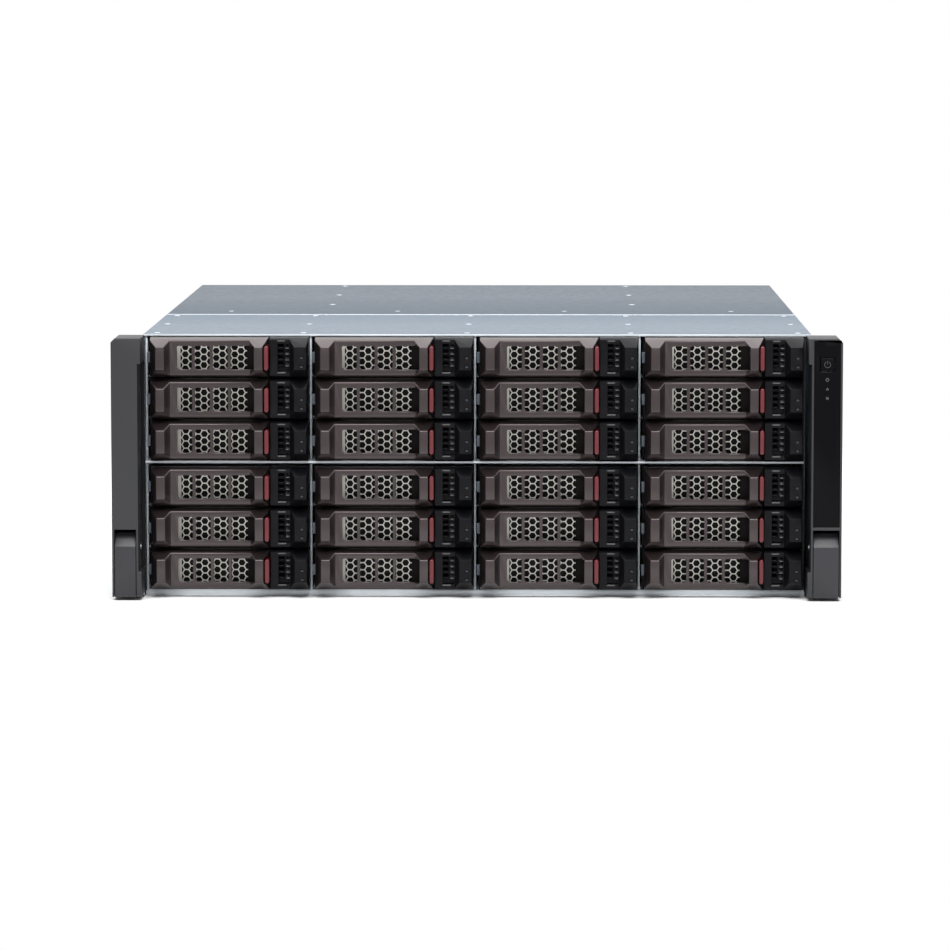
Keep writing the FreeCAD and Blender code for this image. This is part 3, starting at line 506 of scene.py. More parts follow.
def cad_copy(node, name):
    """A merged copy of a CAD node's mesh with its flat faces whole."""
    shape = bmesh.new()
    shape.from_mesh(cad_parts[node].data)
    bmesh.ops.remove_doubles(shape, verts=shape.verts, dist=2e-6)
    bmesh.ops.dissolve_limit(shape, angle_limit=math.radians(1), verts=shape.verts, edges=shape.edges)
    mesh = bpy.data.meshes.new(name)
    shape.to_mesh(mesh)
    shape.free()
    thing = bpy.data.objects.new(name, mesh)
    bpy.context.scene.collection.objects.link(thing)
    return thing


def moved(thing, spot):
    """Moves a mesh, not its object."""
    thing.data.transform(Matrix.Translation(spot))
    return thing


def copy_to(thing, name, spot):
    """A copy of a mesh at another place."""
    twin = bpy.data.objects.new(name, thing.data.copy())
    bpy.context.scene.collection.objects.link(twin)
    return moved(twin, spot)


def hand_over(thing, body, slot_name, *nodes):
    """Puts a finished piece on its body and lets it stand for its CAD nodes."""
    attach(thing, body)
    if nodes:
        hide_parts(*nodes)


# Geometry Nodes: a grid of copies of whatever mesh the modifier is on

def add_input(group, name, kind, default=None):
    """One named input of a node group."""
    socket = group.interface.new_socket(name, in_out="INPUT", socket_type=kind)
    if default is not None:
        socket.default_value = default
    return socket.identifier


def grid_group():
    """Copies the incoming mesh over a grid, every second column shifted by a share of the pitch."""
    group = bpy.data.node_groups.new("grid_of_copies", "GeometryNodeTree")
    group.interface.new_socket("Geometry", in_out="INPUT", socket_type="NodeSocketGeometry")
    names = [("Columns", "NodeSocketInt", 4), ("Rows", "NodeSocketInt", 4),
             ("Column Pitch", "NodeSocketFloat", 0.01), ("Row Pitch", "NodeSocketFloat", 0.01),
             ("Stagger", "NodeSocketFloat", 0.0), ("Material", "NodeSocketMaterial", None)]
    sockets = {name: add_input(group, name, kind, default) for name, kind, default in names}
    group.interface.new_socket("Geometry", in_out="OUTPUT", socket_type="NodeSocketGeometry")
    nodes, links = group.nodes, group.links
    given = nodes.new("NodeGroupInput")
    result = nodes.new("NodeGroupOutput")

    def math_node(operation, a, b=None):
        """One step of arithmetic on sockets or plain numbers."""
        node = nodes.new("ShaderNodeMath")
        node.operation = operation
        for i, value in enumerate((a, b)):
            if isinstance(value, (int, float)):
                node.inputs[i].default_value = value
            elif value is not None:
                links.new(value, node.inputs[i])
        return node.outputs[0]

    line = nodes.new("GeometryNodeMeshLine")
    row_count = given.outputs["Rows"]
    links.new(math_node("MULTIPLY", given.outputs["Columns"], row_count), line.inputs["Count"])
    index = nodes.new("GeometryNodeInputIndex").outputs[0]
    column = math_node("FLOOR", math_node("DIVIDE", math_node("ADD", index, 0.5), row_count))
    row = math_node("SUBTRACT", index, math_node("MULTIPLY", column, row_count))
    odd = math_node("MODULO", column, 2)
    across = math_node("MULTIPLY", column, given.outputs["Column Pitch"])
    shift = math_node("MULTIPLY", odd, given.outputs["Stagger"])
    up = math_node("MULTIPLY", math_node("ADD", row, shift), given.outputs["Row Pitch"])
    spot = nodes.new("ShaderNodeCombineXYZ")
    links.new(across, spot.inputs["X"])
    links.new(up, spot.inputs["Z"])
    put = nodes.new("GeometryNodeSetPosition")
    links.new(line.outputs["Mesh"], put.inputs["Geometry"])
    links.new(spot.outputs[0], put.inputs["Position"])
    copies = nodes.new("GeometryNodeInstanceOnPoints")
    links.new(put.outputs[0], copies.inputs["Points"])
    links.new(given.outputs["Geometry"], copies.inputs["Instance"])
    real = nodes.new("GeometryNodeRealizeInstances")
    links.new(copies.outputs[0], real.inputs[0])
    skin = nodes.new("GeometryNodeSetMaterial")
    links.new(real.outputs[0], skin.inputs["Geometry"])
    links.new(given.outputs["Material"], skin.inputs["Material"])
    links.new(skin.outputs[0], result.inputs[0])
    return group, sockets


GRID = {}


def grid_of(thing, columns, rows, column_pitch, row_pitch, key, stagger=0.0, flat=False):
    """Repeats a mesh over an upright grid, or over one that lies flat, pitches in metres."""
    if not GRID:
        GRID["group"], GRID["sockets"] = grid_group()
    if flat:
        thing.data.transform(Matrix.Rotation(math.radians(90), 4, "X"))
    step = thing.modifiers.new("grid", "NODES")
    step.node_group = GRID["group"]
    values = {"Columns": columns, "Rows": rows, "Column Pitch": column_pitch, "Row Pitch": row_pitch,
              "Stagger": stagger, "Material": MATERIALS[key]}
    for name, value in values.items():
        step[GRID["sockets"][name]] = value
    settle(thing)
    if flat:
        thing.data.transform(Matrix.Rotation(math.radians(-90), 4, "X"))
    return thing


def honeycomb_unit(name, pitch, wall, front, back):
    """The repeat of a honeycomb: a level bar with two half bars at each end, in millimetres."""
    side = pitch / math.sqrt(3)
    corner = wall / math.sqrt(3)
    right = []
    for turn, is_bar in ((120, False), (60, True), (0, False), (-60, True), (-120, False)):
        along = Vector((math.cos(math.radians(turn)), math.sin(math.radians(turn))))
        across = Vector((-along.y, along.x)) * wall / 2
        joint = Vector((side / 2, 0))
        if is_bar:
            end = joint + along * side / 2
            right += [end + across, end - across]
        else:
            right.append(joint + along * corner)
    outline = [tuple(spot) for spot in right] + [(-x, z) for x, z in reversed(right)]
    return extruded(name, outline, "y", front, back)


# Places read from the frame

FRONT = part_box("drive_cage")[0].y
LEVER_LOW, LEVER_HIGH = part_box("carrier_lever_r1c1")
HALF = (LEVER_HIGH.z - LEVER_LOW.z) / MM / 2
REACH = (FRONT - LEVER_LOW.y) / MM
FACE_WIDTH = 105.0
SHELF = (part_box("drive_carrier_r3c1")[0].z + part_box("drive_carrier_r4c1")[1].z) / 2


def bay_spot(row, column):
    """Where a carrier's local coordinates start."""
    low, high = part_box(f"drive_carrier_r{row}c{column}")
    return Vector((high.x - FACE_WIDTH * MM, FRONT, (low.z + high.z) / 2))


# Carrier pieces in local millimetres

BLOCK_LEFT = 79.5
BLOCK_PANEL = 14.0
PANEL_LEFT, PANEL_RIGHT = 80.3, 92.3
PANEL_TOP = 10.4
RIDGE_FOOT, RIDGE_LEFT, RIDGE_RIGHT = 92.6, 95.9, 103.8
RIDGE_TOP = 7.5
BEVEL_START = 12.0
VENT_LEFT, VENT_RIGHT = 84.6, 92.2
LIGHT_MIDDLE = 100.8
LIGHT_HEIGHTS = (0.3, -5.6)
HINGE = (7.0, -13.0)
OPENING = 9.0
SCREEN_RIGHT = 63.8
SCREEN_COLUMNS, SCREEN_ROWS = 12, 4
SCREEN_FOOT = -8.15
FINGER_RIGHT = 74.9


def block_shape():
    """The latch block: a ridge beside a lower panel, with long bevels above and below."""
    plan = [(BLOCK_LEFT, -1.0), (BLOCK_LEFT, -BLOCK_PANEL), (RIDGE_FOOT, -BLOCK_PANEL),
            (RIDGE_LEFT, -REACH), (RIDGE_RIGHT, -REACH), (FACE_WIDTH, -BEVEL_START), (FACE_WIDTH, -1.0)]
    side = [(0, -HALF), (0, HALF), (-BEVEL_START, HALF), (-REACH, RIDGE_TOP), (-REACH, -RIDGE_TOP),
            (-BEVEL_START, -HALF)]
    beveled = extruded("side", side, "x", BLOCK_LEFT - 9.5, FACE_WIDTH + 5)
    return carve(extruded("block", plan, "z", -HALF, HALF), "INTERSECT", beveled)


def at_light(name, half_width, half_height, front, back, height):
    """A slab centred on one of the block's two indicator lights."""
    return slab(name, (LIGHT_MIDDLE - half_width, front - REACH, height - half_height),
                (LIGHT_MIDDLE + half_width, back - REACH, height + half_height))


def latch_block():
    """The latch block with its sunken panel, louvres and two indicator windows."""
    sunk, room_back = 1.2, -5.0
    tools = [slab("sunk_panel", (PANEL_LEFT, -20, -PANEL_TOP), (PANEL_RIGHT, sunk - BLOCK_PANEL, PANEL_TOP)),
             slab("vent_room", (VENT_LEFT, -20, -9.4), (VENT_RIGHT, room_back, 9.2))]
    for height in LIGHT_HEIGHTS:
        tools.append(at_light("window", 1.5, 1.1, -1, 0.7, height))
    pieces = [paint(rounded(carve(block_shape(), "DIFFERENCE", *tools), 0.35), "black")]
    fins, fin_pitch, lowest_fin = 4, 3.95, -5.0
    # The right louvres get the lighter grey moulding and the left ones black: painted glints on the right.
    for key, left, right, low in (("black", 84.5, 88.6, 0.0), ("tab", 89.7, PANEL_RIGHT, -0.5)):
        slope = [(-12.6, low - 0.5), (-12.6, low), (-7.0, low + 2.0), (-7.0, low + 1.4)]
        fin = rounded(extruded(f"{key}_fin", slope, "x", left, right), 0.18, 1)
        louvres = grid_of(fin, 1, fins, MM, fin_pitch * MM, key)
        pieces.append(moved(louvres, Vector((0, 0, lowest_fin * MM))))
    for height, right in ((11.2, 89.6), (-10.0, 90.0)):
        tab = slab("vent_tab", (84.4, -BLOCK_PANEL - 0.1, height - 0.5), (right, -12.0, height + 0.45))
        pieces.append(paint(rounded(tab, 0.3), "tab"))
    for height in LIGHT_HEIGHTS:
        lens = at_light("lens", 1.05, 0.65, 0.05, 0.9, height)
        pieces.append(paint(rounded(lens, 0.25), "lens"))
    return pieces


def front_frame():
    """The frame plate with its air opening, finger floor and hinge lugs."""
    plate = slab("plate", (0, -2, -HALF), (FACE_WIDTH, 3, HALF))
    opening = slab("opening", (16, -9, -OPENING), (SCREEN_RIGHT, 9, OPENING))
    plate = carve(plate, "DIFFERENCE", opening)
    floor = slab("shaded_finger_floor", (SCREEN_RIGHT, -5, -OPENING), (FINGER_RIGHT, -1, OPENING))
    pieces = [rounded(plate, 0.3)]
    across, tip = HINGE[0], HINGE[1] - 1.85
    lug_outline = [(6.4, -1), (9.4, -1), (across + 1.85, tip), (across - 1.85, tip)]
    for low, high in ((3.3, 6.3), (-6.3, -3.3)):
        pieces.append(rounded(extruded("lug", lug_outline, "z", low, high), 0.4))
    pieces.append(smooth(disc("pin", HINGE, 1.1, "z", -3.6, 3.6)))
    # A black sheet right behind the screen: painted shade in the carrier's air path.
    pieces.append(slab("shade_sheet", (16.2, 3.2, -OPENING - 0.2), (FINGER_RIGHT, 4.0, OPENING + 0.2)))
    # The finger floor gets the darkened lever paint: painted shade in the finger opening.
    return [paint(piece, "black") for piece in pieces] + [paint(rounded(floor, 0.5), "finger")]


def air_screen(sizes):
    """The honeycomb screen behind the lever's windows, with a plain left border."""
    pitch = sizes.cell_pitch
    across = pitch * math.sqrt(3) / 2
    unit = honeycomb_unit("screen_cells", pitch, sizes.cell_wall, -2.9, -2.1)
    cells = grid_of(unit, SCREEN_COLUMNS, SCREEN_ROWS, across * MM, pitch * MM, "screen", 0.5)
    first = SCREEN_RIGHT - across * (SCREEN_COLUMNS - 1)
    moved(cells, Vector((first * MM, 0, SCREEN_FOOT * MM)))
    border = slab("border", (14.8, -2.85, -10.2), (19.4, -2.0, 10.2))
    return [cells, paint(rounded(border, 0.1, 1), "screen")]


def release_button():
    """The release button with round ends and a soft front."""
    outline = stadium((75.95, -8.0), (78.85, 8.0), 1.4)
    button = extruded("release", outline, "y", -REACH + 0.1, -2.0)
    return [paint(rounded(button, 0.6, 3, 50), "release")]


def drive():
    """A drive between the two rails, with its stepped cover, label-free."""
    left, right, back = 0.5, 102.1, 155.0
    foot, top, lid = -13.05, 12.2, 12.8
    middle = (left + right) / 2
    body = slab("drive", (left, 8.0, foot), (right, back, top))
    outline = stadium((left + 2, 10.0), (right - 2, back - 3), 9.0)
    cover = extruded("drive_cover", outline, "z", top - 0.2, lid)
    # The drive body is near black as painted shade in the cavity behind the screen.
    pieces = [paint(rounded(body, 0.8), "near_black_and_shade"), paint(rounded(cover, 0.3, 1, 50), "drive")]
    hub = disc("spindle", (middle, 62.0), 16.0, "z", lid - 0.3, lid + 0.25, 40)
    pieces.append(paint(smooth(hub), "near_black_and_shade"))
    first_slot, slot_pitch, slot_length, slot_half = 18.0, 27.0, 17.0, 6.5
    for low in (left - 1.9, right + 0.1):
        rail = slab("rail", (low, 3.0, -HALF), (low + 1.8, 157.0, HALF))
        slots = []
        for i in range(5):
            start = first_slot + i * slot_pitch
            points = stadium((start, -slot_half), (start + slot_length, slot_half), 3.0, 4)
            slots.append(extruded("rail_slot", points, "x", low - 2, low + 4))
        pieces.append(paint(rounded(carve(rail, "DIFFERENCE", *slots), 0.25, 1), "black"))
    return pieces


class CarrierOperator(bpy.types.Operator):
    """Builds the drive carriers: frame, latch block, screen, release button, drive and rails."""

    bl_idname = "shelf.carriers"
    bl_label = "Drive carriers"

    def execute(self, context):
        sizes = context.scene.shelf_sizes
        groups = {
            "carrier_front": join("front_pattern", front_frame() + latch_block()),
            "air_screen": join("screen_pattern", air_screen(sizes)),
            "release_button": join("release_pattern", release_button()),
            "drive": join("drive_pattern", drive()),
        }
        for row, column in BAYS:
            key = f"r{row}c{column}"
            spot = bay_spot(row, column)
            for name, pattern in groups.items():
                piece = copy_to(pattern, f"{name}_{key}", spot)
                nodes = [f"drive_carrier_{key}"] if name == "carrier_front" else []
                hand_over(piece, f"carrier_{key}", "drive_metal", *nodes)
        for pattern in groups.values():
            drop(pattern)
        return {"FINISHED"}


WINDOWS_LEFT, WINDOW_PITCH, WINDOW_WIDTH, WINDOW_HALF = 17.9, 11.9, 9.8, 7.8
WINDOW_FRONT, WINDOW_BACK = -14.97, -13.45


def window_corner(corner, side, up, size):
    """A small slanting wall across one corner of a window; side and up say which corner."""
    tuck = 0.5
    high, inner = WINDOW_HALF * up, corner + size * side
    outer = corner - tuck * side
    outline = [(outer, (WINDOW_HALF + tuck) * up), (inner, (WINDOW_HALF + tuck) * up), (inner, high),
               (corner, (WINDOW_HALF - size) * up), (outer, (WINDOW_HALF - size) * up)]
    return paint(rounded(extruded("corner", outline, "y", WINDOW_FRONT, WINDOW_BACK), 0.3), "lever")


def window_corners():
    """The slanting corners of the lever's three windows and of the left side of its finger opening."""
    pieces = []
    for i in range(4):
        left = WINDOWS_LEFT + WINDOW_PITCH * i
        sides = [(1, left), (-1, left + WINDOW_WIDTH)] if i < 3 else [(1, left)]
        for side, corner in sides:
            for up, size in ((-1, 1.4), (1, 0.8)):
                pieces.append(window_corner(corner, side, up, size))
    return pieces


class LeverOperator(bpy.types.Operator):
    """Builds the carrier levers from their CAD shape, with rounded edges and window corners."""

    bl_idname = "shelf.levers"
    bl_label = "Carrier levers"

    def execute(self, context):
        sizes = context.scene.shelf_sizes
        home = bay_spot(1, 1)
        lever = paint(rounded_front(cad_copy("carrier_lever_r1c1", "lever_shell"), sizes.edge), "lever")
        hook_right = home.x - 0.05 * MM
        paint_where(lever, "dark_zinc_and_shade", lambda centre, normal: centre.x < hook_right)
        corners = [moved(corner, home) for corner in window_corners()]
        pattern = join("lever_pattern", [lever] + corners)
        for row, column in BAYS:
            key = f"r{row}c{column}"
            piece = copy_to(pattern, f"lever_{key}", bay_spot(row, column) - home)
            hand_over(piece, f"lever_{key}", "lever_plastic", f"carrier_lever_{key}")
        drop(pattern)
        return {"FINISHED"}


def weld_mark(radius):
    """The raised ring that a spot weld leaves, with its crater."""
    height, floor = 0.34, 0.16
    mark = disc("weld", (0, 0), radius, "z", 0.0, height, 18)
    mark = carve(mark, "DIFFERENCE", disc("crater", (0, 0), radius * 0.45, "z", floor, 1.0, 12))
    return rounded(mark, 0.16, 2)


def screw_head(radius, height):
    """A low screw head with a cross recess; with no height, one that lies flush."""
    arm, slot, sunk = radius * 0.62, 0.35, 0.45
    head = disc("head", (0, 0), radius, "z", -0.6, height, 20)
    for wide, tall in ((arm, slot), (slot, arm)):
        cut = slab("cross", (-wide, -tall, height - sunk), (wide, tall, height + 1))
        head = carve(head, "DIFFERENCE", cut)
    return rounded(head, min(0.2, max(height * 0.5, 0.08)), 2)


class CoverOperator(bpy.types.Operator):
    """Builds both top covers with spot-weld marks, screws and hems."""

    bl_idname = "shelf.covers"
    bl_label = "Top covers"

    def execute(self, context):
        sizes = context.scene.shelf_sizes
        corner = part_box("top_cover_front")[1]
        half, seam, top = corner.x / MM, corner.y / MM, corner.z / MM
        front = cad_copy("top_cover_front", "front_cover")
        room = slab("lowered_top", (-half - 1, FRONT / MM + 2.0, top - 0.45),
                    (half + 1, seam - 5.0, top + 1))
        front = rounded(carve(front, "DIFFERENCE", room), sizes.sheet_edge)
        # The front faces of the front cover get the light edge colour: painted highlight.
        paint_where(paint(front, "zinc"), "edge", faces_front)
        hand_over(front, STATIC_BODY, "zinc_steel", "top_cover_front")
        rear = cad_copy("top_cover_rear", "rear_cover")
        room = slab("lowered_top", (-half - 1, seam - 1, top - 0.4), (half + 1, -FRONT / MM + 1, top + 1))
        # The rear cover gets the darker copy of the zinc: painted shade.
        rear = paint(rounded(carve(rear, "DIFFERENCE", room), sizes.sheet_edge), "dark_zinc_and_shade")
        hand_over(rear, STATIC_BODY, "zinc_steel", "top_cover_rear")
        for name, x, depth, columns, rows, across, along, piece, sunk in self.patterns(sizes):
            key = "screw" if "screws" in name else "edge"
            copies = grid_of(piece, columns, rows, across * MM, along * MM, key, 0.0, True)
            moved(copies, Vector((x * MM, FRONT + depth * MM, (top - sunk) * MM)))
            copies.name = name
            hand_over(copies, STATIC_BODY, "zinc_steel")
        return {"FINISHED"}

    def patterns(self, sizes):
        """Name, first place, counts, pitches, shape and depth of everything on the covers."""
        welds_back, weld_rows, weld_pitch, weld_sunk = 15.0, 3, 85.5, 0.47
        return (
            ("inner_weld_marks", -116.3, welds_back, 3, weld_rows, 109.4, weld_pitch,
             weld_mark(sizes.dimple), weld_sunk),
            ("outer_weld_marks", -214.0, welds_back, 2, weld_rows, 428.0, weld_pitch,
             weld_mark(sizes.dimple), weld_sunk),
            ("cover_screws", -109.5, 198.0, 2, 4, 219.0, 111.4, screw_head(sizes.screw, 0.38), 0.42),
            ("cross_screws", -179.0, 237.0, 4, 1, 119.3, 1.0, screw_head(sizes.screw * 0.8, 0.2), 0.42),
            ("seam_screw", -1.0, 197.0, 1, 1, 1.0, 1.0, screw_head(sizes.screw, 0.0), 0.0),
        )


class BodyOperator(bpy.types.Operator):
    """Finishes the chassis, cage, backplane and fans, and adds the hems, bright with painted highlight."""

    bl_idname = "shelf.body"
    bl_label = "Chassis and inside"

    def execute(self, context):
        sizes = context.scene.shelf_sizes
        finish_cad("backplane", "board")
        finish_cad("fan_wall", "near_black_and_shade")
        self.tray(sizes)
        self.cage(sizes)
        self.hems()
        return {"FINISHED"}

    def tray(self, sizes):
        """The chassis with its flanges painted black and their corners trimmed."""
        tray = cad_copy("chassis_tray", "chassis_shell")
        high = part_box("ear_left")[1].z / MM
        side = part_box("ear_right")[1].x / MM
        near, far = FRONT / MM - 5, FRONT / MM + 5
        for sign in (-1, 1):
            corner = [(side * sign, high + 1), ((side - 3.7) * sign, high + 1),
                      ((side + 1) * sign, high - 3.7)]
            carve(tray, "DIFFERENCE", extruded("flange_corner", corner, "y", near, far))
        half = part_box("top_cover_front")[1].x
        paint(rounded(tray, sizes.sheet_edge), "zinc")
        # The front faces of the chassis get the light edge colour: painted highlight.
        paint_where(tray, "edge", faces_front)
        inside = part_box("drive_cage")[1].x
        # Black on the flanges beside the ears, and black as painted shade on the right wall's front edge
        # behind the right ear.
        paint_where(tray, "black", lambda centre, normal: abs(centre.x) > half + 0.02 * MM
                    or (faces_front(centre, normal) and centre.x > inside and centre.z > 10 * MM))
        hand_over(tray, STATIC_BODY, "zinc_steel", "chassis_tray")

    def cage(self, sizes):
        """The drive cage; the fronts of its walls and shelf are painted bright as painted highlight, its
        ledges and rim painted dark as painted shade.
        """
        cage = paint(rounded(cad_copy("drive_cage", "cage_walls"), sizes.sheet_edge), "cage")
        low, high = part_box("drive_cage")
        wall = 1.4 * MM
        pitch = (high.x - low.x - wall) / COLUMNS

        def off_the_walls(centre):
            """Whether a front face belongs to a ledge, and not to a wall or the shelf."""
            place = (centre.x - low.x - wall / 2) / pitch
            return abs(place - round(place)) * pitch > wall * 0.6 and abs(centre.z - SHELF) > 2 * MM

        # The front faces of the walls and shelf get the light lip material: painted highlight.
        paint_where(cage, "lip", faces_front)
        # Front faces of the ledges and of the rightmost wall get near black: painted shade between the walls
        # and behind the right ear.
        paint_where(cage, "near_black_and_shade", lambda centre, normal: faces_front(centre, normal)
                    and (off_the_walls(centre) or centre.x > high.x - 3 * wall))
        hand_over(cage, STATIC_BODY, "cage_steel", "drive_cage")

    def hems(self):
        """The hems in front of the middle shelf and of the chassis floor, bright with painted highlight."""
        low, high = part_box("drive_cage")
        front, left, right = FRONT / MM, low.x / MM, high.x / MM
        shelf = SHELF / MM
        shelf_lip = slab("shelf_lip", (left, front - 8.0, shelf + 0.2),
                         (right - 1.0, front + 0.5, shelf + 1.5))
        hand_over(paint(rounded(shelf_lip, 0.4), "lip"), STATIC_BODY, "cage_steel")
        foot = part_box("ear_left")[0].z / MM
        lips = [slab("floor_lip", (left, front - 1.2, foot + 0.3), (right, front + 0.5, foot + 1.7)),
                slab("foot_lip", (left, front - 0.8, 0.1), (right, front + 0.5, foot - 0.2))]
        lips = [paint(rounded(lip, 0.3), "lip") for lip in lips]
        hand_over(join("floor_lips", lips), STATIC_BODY, "zinc_steel")


def grilles(sizes, back, spots):
    """Honeycomb grilles over dark plates that are painted shade of the modules' inside; each spot is its
    left, right, bottom and top.
    """
    pitch = sizes.grille_pitch
    across = pitch * math.sqrt(3) / 2
    pieces = []
    for left, right, bottom, top in spots:
        columns, rows = int((right - left) / across), int((top - bottom) / pitch)
        cell = honeycomb_unit("grille_cell", pitch, 1.3, back + 0.2, back + 0.8)
        grille = grid_of(cell, columns, rows, across * MM, pitch * MM, "module", 0.5)
        moved(grille, Vector(((left + 3) * MM, 0, (bottom + 2.2) * MM)))
        backing = slab("grille_back", (left, back - 0.2, bottom - 1),
                       (left + 3 + columns * across, back + 0.25, top + 2))
        pieces += [smooth(grille, 20), paint(rounded(backing, 0.1, 1), "hole")]
    return pieces


def power_inlet(left, back, centre):
    """A mains inlet with its three blades."""
    insert = slab("inlet", (left + 13, back - 2.2, centre - 9), (left + 38, back + 0.4, centre + 9))
    outline = stadium((left + 15, centre - 7), (left + 36, centre + 7), 3.0)
    room = extruded("inlet_room", outline, "y", back - 1.8, back + 2)
    pieces = [paint(rounded(carve(insert, "DIFFERENCE", room), 0.4), "tile")]
    for x, z in ((left + 20, centre - 2), (left + 31, centre - 2), (left + 25.5, centre + 3)):
        blade = slab("blade", (x - 0.8, back - 2, z - 2), (x + 0.8, back, z + 2))
        pieces.append(paint(rounded(blade, 0.2), "edge"))
    return pieces


def data_ports(left, back, centre):
    """Four sockets in a row, each a bright cage with a dark tongue."""
    pieces = []
    for i in range(4):
        x = left + 12 + 22 * i
        cage = slab("port_cage", (x - 0.2, back - 2.2, centre - 4.8), (x + 16.2, back + 0.7, centre + 4.8))
        room = slab("port_room", (x + 0.7, back - 1.6, centre - 3.9), (x + 15.3, back + 2, centre + 3.9))
        tongue = slab("tongue", (x + 2.5, back - 1.8, centre - 0.6), (x + 13.5, back - 0.2, centre + 0.6))
        pieces += [paint(rounded(carve(cage, "DIFFERENCE", room), 0.2), "edge"),
                   paint(rounded(tongue, 0.2), "tile")]
    return pieces


def module_screws(left, right, bottom, top, back):
    """A screw in each corner of a module's face."""
    inset = 4
    pieces = []
    for z in (bottom + inset, top - inset):
        for x in (left + inset, right - inset):
            head = screw_head(2.4, 0.9)
            head.data.transform(Matrix.Rotation(math.radians(-90), 4, "X"))
            pieces.append(moved(paint(head, "screw"), Vector((x * MM, back * MM, z * MM))))
    return pieces


def module_faces(sizes):
    """Grilles, sockets, screws and lights on the rear faces of the four modules."""
    low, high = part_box("rear_modules")
    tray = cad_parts["chassis_tray"]
    back = max((tray.matrix_world @ Vector(corner)).y for corner in tray.bound_box) / MM
    x_low, x_high, z_low, z_high = low.x / MM, high.x / MM, low.z / MM, high.z / MM
    middle = (z_low + z_high) / 2
    post, sockets = 4.3, 86
    pieces = []
    for left, right in ((x_low, -post), (post, x_high)):
        grille_right = right - sockets
        for bottom, top, power in ((z_low, middle - post, True), (middle + post, z_high, False)):
            centre = (bottom + top) / 2
            spots = [(left + 50, grille_right, bottom + 8, top - 8)]
            if not power:
                spots = [(left + 8, grille_right, top - 26, top - 7),
                         (left + 8, grille_right, bottom + 7, bottom + 24)]
            pieces += grilles(sizes, back, spots)
            pieces += module_screws(left, right, bottom, top, back)
            pieces += (power_inlet if power else data_ports)(left, back, centre)
            lamp = disc("status_light", (right - 8, centre + 14), 1.3, "y", back - 0.3, back + 0.5, 16)
            pieces.append(paint(rounded(lamp, 0.3), "lens"))
    return pieces


class RearOperator(bpy.types.Operator):
    """Builds the rear modules with handles, sockets, grilles and screws."""

    bl_idname = "shelf.rear"
    bl_label = "Rear modules"

    def execute(self, context):
        sizes = context.scene.shelf_sizes
        housings = paint(rounded(cad_copy("rear_modules", "module_housings"), 0.4), "module")
        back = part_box("top_cover_rear")[1].y
        paint_where(housings, "tile", lambda centre, normal: centre.y > back + 0.0002)
        hand_over(housings, STATIC_BODY, "module_steel", "rear_modules")
        hand_over(join("module_faces", module_faces(sizes)), STATIC_BODY, "module_steel")
        return {"FINISHED"}


# Printed marks stand out of their face by a hair, in millimetres

PRINT_FRONT, PRINT_BACK = -0.06, 0.2


def ring(name, middle, radius, width, face, sides=28, turn=0.0):
    """A thin printed outline: a circle, or a polygon with few sides."""
    outer = disc(name, middle, radius, "y", face + PRINT_FRONT, face + PRINT_BACK, sides, turn)
    inner = disc("inside", middle, radius - width, "y", face - 1, face + 1, sides, turn)
    return carve(outer, "DIFFERENCE", inner)


def printed_bar(name, x, face, z, half, low, high):
    """A bar of ink, half its width to each side of x, and from low to high above z."""
    return slab(name, (x - half, face + PRINT_FRONT, z + low), (x + half, face + PRINT_BACK, z + high))


def power_mark(x, face, z):
    """The generic power pictogram: an open ring with a bar."""
    circle = ring("power_ring", (x, z), 2.2, 0.42, face)
    gap = slab("gap", (x - 0.75, face - 1, z + 0.6), (x + 0.75, face + 1, z + 3))
    circle = carve(circle, "DIFFERENCE", gap)
    bar = printed_bar("power_bar", x, face, z, 0.2, -0.1, 2.5)
    return [paint(smooth(circle), "faint_mark"), paint(rounded(bar, 0.03, 1), "faint_mark")]


def panel_marks(x, face, z):
    """Three small lights with generic outlines: a ring, a triangle and a star."""
    pieces = []
    for below, sides, width in ((10.0, 20, 0.32), (16.2, 3, 0.45), (22.2, 0, 0.0)):
        height = z - below
        if sides:
            shape = ring("outline", (x, height), 1.15, width, face, sides, 90.0)
            pieces.append(paint(smooth(shape), "mark"))
        else:
            for turn in (0, 60, 120):
                bar = printed_bar("spoke", 0, face, 0, 1.1, -0.16, 0.16)
                bar.data.transform(Matrix.Rotation(math.radians(turn), 4, "Y"))
                pieces.append(paint(moved(bar, Vector((x * MM, 0, height * MM))), "mark"))
        light = disc("light", (x, height - 0.1), 0.4, "y", face - 0.05, face + 0.2, 12)
        pieces.append(paint(rounded(light, 0.04, 1), "lens"))
    return pieces


